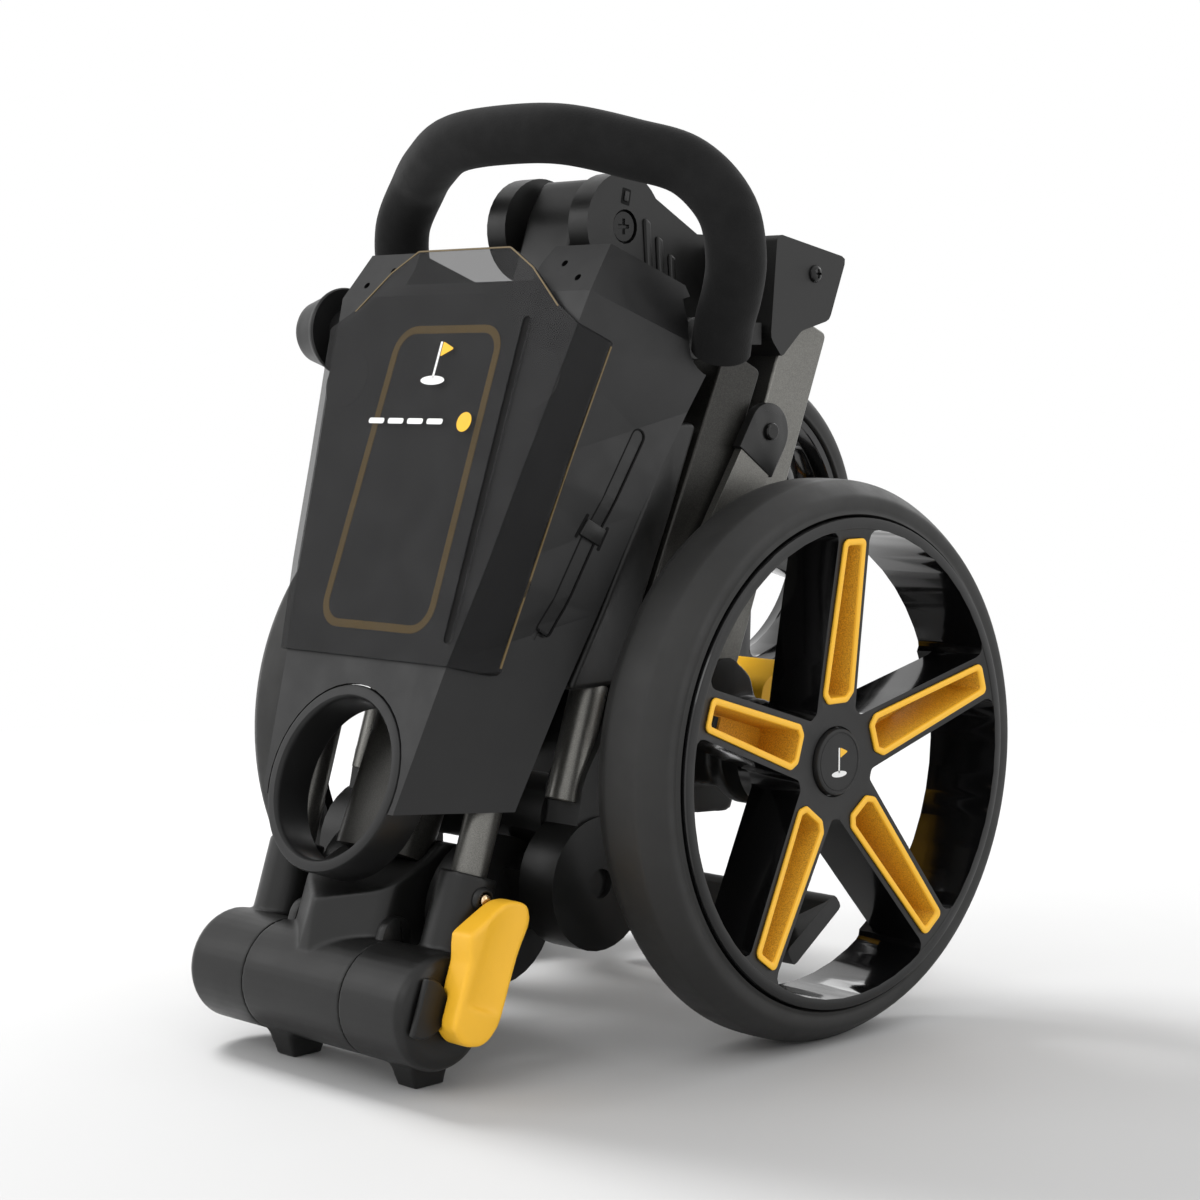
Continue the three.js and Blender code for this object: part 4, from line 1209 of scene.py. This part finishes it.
def grip():
    half = [Vector(p) for p in GRIP_HALF]
    route = catmull(half + [Vector((-p.x, p.y, p.z)) for p in reversed(half[:-1])], 8)
    length = sum((b - a).length for a, b in zip(route, route[1:]))
    cap = 7.0

    def radius_at(share):
        from_end = min(share, 1 - share) * length
        if from_end >= cap:
            return GRIP_RADIUS
        return GRIP_RADIUS - cap + math.sqrt(max(cap * cap - (cap - from_end) ** 2, 0))

    place = at(Vector((0, PIVOT["grip_angle"].y, PIVOT["grip_angle"].z)))
    piece = sweep("grip_foam_loop", even_route(route, cap), radius_at, "foam", matrix=place, ring=44,
                  lumps=0.004)
    settle(smooth(piece, 70), "grip_foam")
    for name, _ in SIDES:
        refined(f"grip_end_{name}", 1.2)


def even_route(route, cap):
    """The same route with evenly spaced points, and closer ones at its two rounded ends."""
    lengths = [0.0]
    for a, b in zip(route, route[1:]):
        lengths.append(lengths[-1] + (b - a).length)
    total = lengths[-1]
    marks = [cap * (1 - math.cos(math.pi / 2 * k / 7)) for k in range(7)]
    count = 130
    marks += [cap + (total - 2 * cap) * k / count for k in range(count + 1)]
    marks += [total - m for m in reversed(marks[:7])]
    out = []
    for mark in marks:
        k = max(i for i in range(len(lengths) - 1) if lengths[i] <= mark + 1e-9)
        share = (mark - lengths[k]) / (lengths[k + 1] - lengths[k])
        out.append(route[k].lerp(route[k + 1], min(share, 1)))
    return out


# ---------------- chassis
SCREW_RADIUS = 4.7
BRACKET_SCREW = (0.0832, 0.3965)  # y and z of the screw on each side of the top bracket


def screw(name, place, axis_sign):
    """A domed cross-head screw whose axis lies along X."""
    radius = SCREW_RADIUS
    turn = Matrix.Identity(4) if axis_sign > 0 else Matrix.Rotation(math.pi, 4, "Z")
    matrix = at(place) @ turn
    dome = [(0, -1.5), (radius, -1.5), (radius, 0.6), (radius * 0.93, 1.4), (radius * 0.75, 2.2),
            (radius * 0.45, 2.75), (0, 3.0)]
    head = lathe(name, dome, "black_screw", matrix=matrix, segments=40)
    arm, half = radius * 0.52, radius * 0.13
    cross, corners = [], [(-half, -arm), (half, -arm), (half, -half)]
    for _ in range(4):
        cross += corners
        corners = [(-b, a) for a, b in corners]
    carve(head, [prism("cross", cross, 1.0, 6, side_on, "deep_black", matrix=matrix)])
    attach(smooth(head, 35), "chassis")


def chassis():
    moulded("axle_housing", 1.1, 8)
    refined("axle_shaft", 0.8)
    for name, sign in SIDES:
        refined(f"rear_rail_{name}", 2.6, segments=4)
        refined(f"front_leg_{name}", 2.6, segments=4)
        refined(f"leg_casting_{name}", 1.6, segments=4, flat=2.2)
        refined(f"stay_screw_{name}", 1.2)
        stay(name, sign)
    refined("top_bracket", 0.9)
    refined("upper_knuckle", 1.4)
    refined("top_hinge_pin", 0.4, look="black_screw")
    refined("fork_pivot_pin", 0.5)
    refined("front_axle", 0.8)
    moulded("front_fork", 1.0, 6)
    refined("bag_cradle", 1.2)
    refined("brake_pedal", 2.2, segments=4)
    for name, sign in SIDES:
        refined(f"brake_pin_{name}", 0.6)
        low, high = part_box("top_bracket")
        outer = high.x if sign > 0 else low.x
        screw(f"bracket_screw_{name}", Vector((outer, *BRACKET_SCREW)), sign)
        knuckle_details(name, sign)
        lower_tube(name, sign)
    arches()
    undercarriage()


def knuckle_details(name, sign):
    """The slot above the hinge screw, drawn as a near-black block of painted shade with no recess cut, the key
    block in it, and the ribs down the knuckle's body.
    """
    face = 38.0
    y, z = TOP_HINGE.y / MM, TOP_HINGE.z / MM
    inner = face - 1.5
    slot = [(y - 3.4, z + 12), (y + 3.0, z + 10.6), (y + 4.6, z + 19), (y - 1.8, z + 20.4)]
    slot = rounded(slot, 0.8, 3)
    # painted shade: the slot is a near-black block, not a cut recess
    slot_shade = prism(f"knuckle_slot_shade_{name}", slot, *span(sign, inner, face + 0.05), side_on, "deep_black")
    attach(slot_shade, "chassis")
    block = [(y - 1.4, z + 13.4), (y + 1.8, z + 12.8), (y + 2.8, z + 18), (y - 0.4, z + 18.6)]
    block = rounded(block, 0.6, 3)
    detail(f"knuckle_key_{name}", block, span(sign, inner, face + 0.7), 0.3)
    for k in range(3):
        a, b = y + 13 + 9.5 * k, z + 6 - 9 * k
        rib = rounded([(a, b), (a + 5.5, b - 3), (a + 9, b - 52), (a + 3.5, b - 50)], 2.5, 4)
        ends = span(sign, face - 1.0, face + 1.6)
        detail(f"knuckle_rib_{name}_{k + 1}", rib, ends, 1.5, angle=60, edge_steps=4)


def lower_tube(name, sign):
    """The short metal tube above the leg casting, and the dark guard that it runs up into."""
    tube = rod(f"lower_tube_{name}", (sign * 75, -93, 130), (sign * 75, -74, 188), 9.5, "gunmetal")
    attach(tube, "chassis")
    front = [(-100, 187), (-76, 226), (-49, 274), (-25, 318)]
    back = [(-6, 318), (-25, 274), (-47, 226), (-65, 187)]
    ends = span(sign, 63, 86)
    detail(f"leg_guard_{name}", rounded(front + back, 3, 4), ends, 3, angle=40, edge_steps=4)


def arches():
    """Two half-round arches that rise from the barrel beside the spine's blade."""
    radius, foot, lift = 9.5, -12, 31
    turns = [math.pi * k / 14 for k in range(15)]
    outline = [(radius * math.cos(t), radius * math.sin(t)) for t in turns]
    outline = rounded(outline + [(-radius, foot), (radius, foot)], 0.5, 1)
    for name, sign in SIDES:
        detail(f"barrel_arch_{name}", outline, span(sign, 31, 37.2), 1.2,
               place=lambda a, b, d: (d, a, b + lift), body="spine", matrix=LEANING)


def undercarriage():
    """Small moulded blocks between the rails: the keeper of the bag strap and its lip."""
    blocks = (("keeper", 23, 40, 62, 78, 268, 292), ("keeper_lip", 24, 46, 58, 64, 262, 272))
    for side, sign in SIDES:
        for name, x0, x1, y0, y1, z0, z1 in blocks:
            outline = rounded([(y0, z0), (y1, z0), (y1, z1), (y0, z1)], 3, 4)
            detail(f"strap_{name}_{side}", outline, span(sign, x0, x1), 1.5)


def stay(name, sign):
    """A flat link with a moulded fork cap round its upper end."""
    node = f"side_stay_{name}"
    refined(node, 0.8)
    low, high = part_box(node)
    outer = (high.x if sign > 0 else low.x) / MM
    y, z = high.y / MM - 15, high.z / MM - 15  # the middle of the stay's round upper end
    slope = Vector((-54, -81)).normalized()
    across = Vector((-slope.y, slope.x))
    r, length = 15.2, 19
    turns = [math.pi * k / 16 for k in range(17)]
    outline = [across * (r * math.cos(t)) - slope * (r * math.sin(t)) for t in turns]
    outline += [-across * r + slope * length, across * r + slope * length]
    ends = sorted((outer - sign * 4.9, outer + sign * 0.6))
    detail(f"stay_cap_{name}", rounded([(y + p.x, z + p.y) for p in outline], 0.4, 1), ends, 0.5)


# ---------------- assembly
MATERIALS = make_materials()
make_camera()
make_studio()
for side, way in SIDES:
    rear_tyre(side, way)
    rear_rim(side, way)
    hub_cap(side, way)
    for number in range(SPOKES):
        spoke_insert(side, way, number)
front_tyre()
front_rim()
barrel()
handle_tubes()
lever()
latch_button()
spine()
console()
lid()
lid_edge()
band()
magnets()
lid_marks()
carry_ring()
knob()
grip()
chassis()
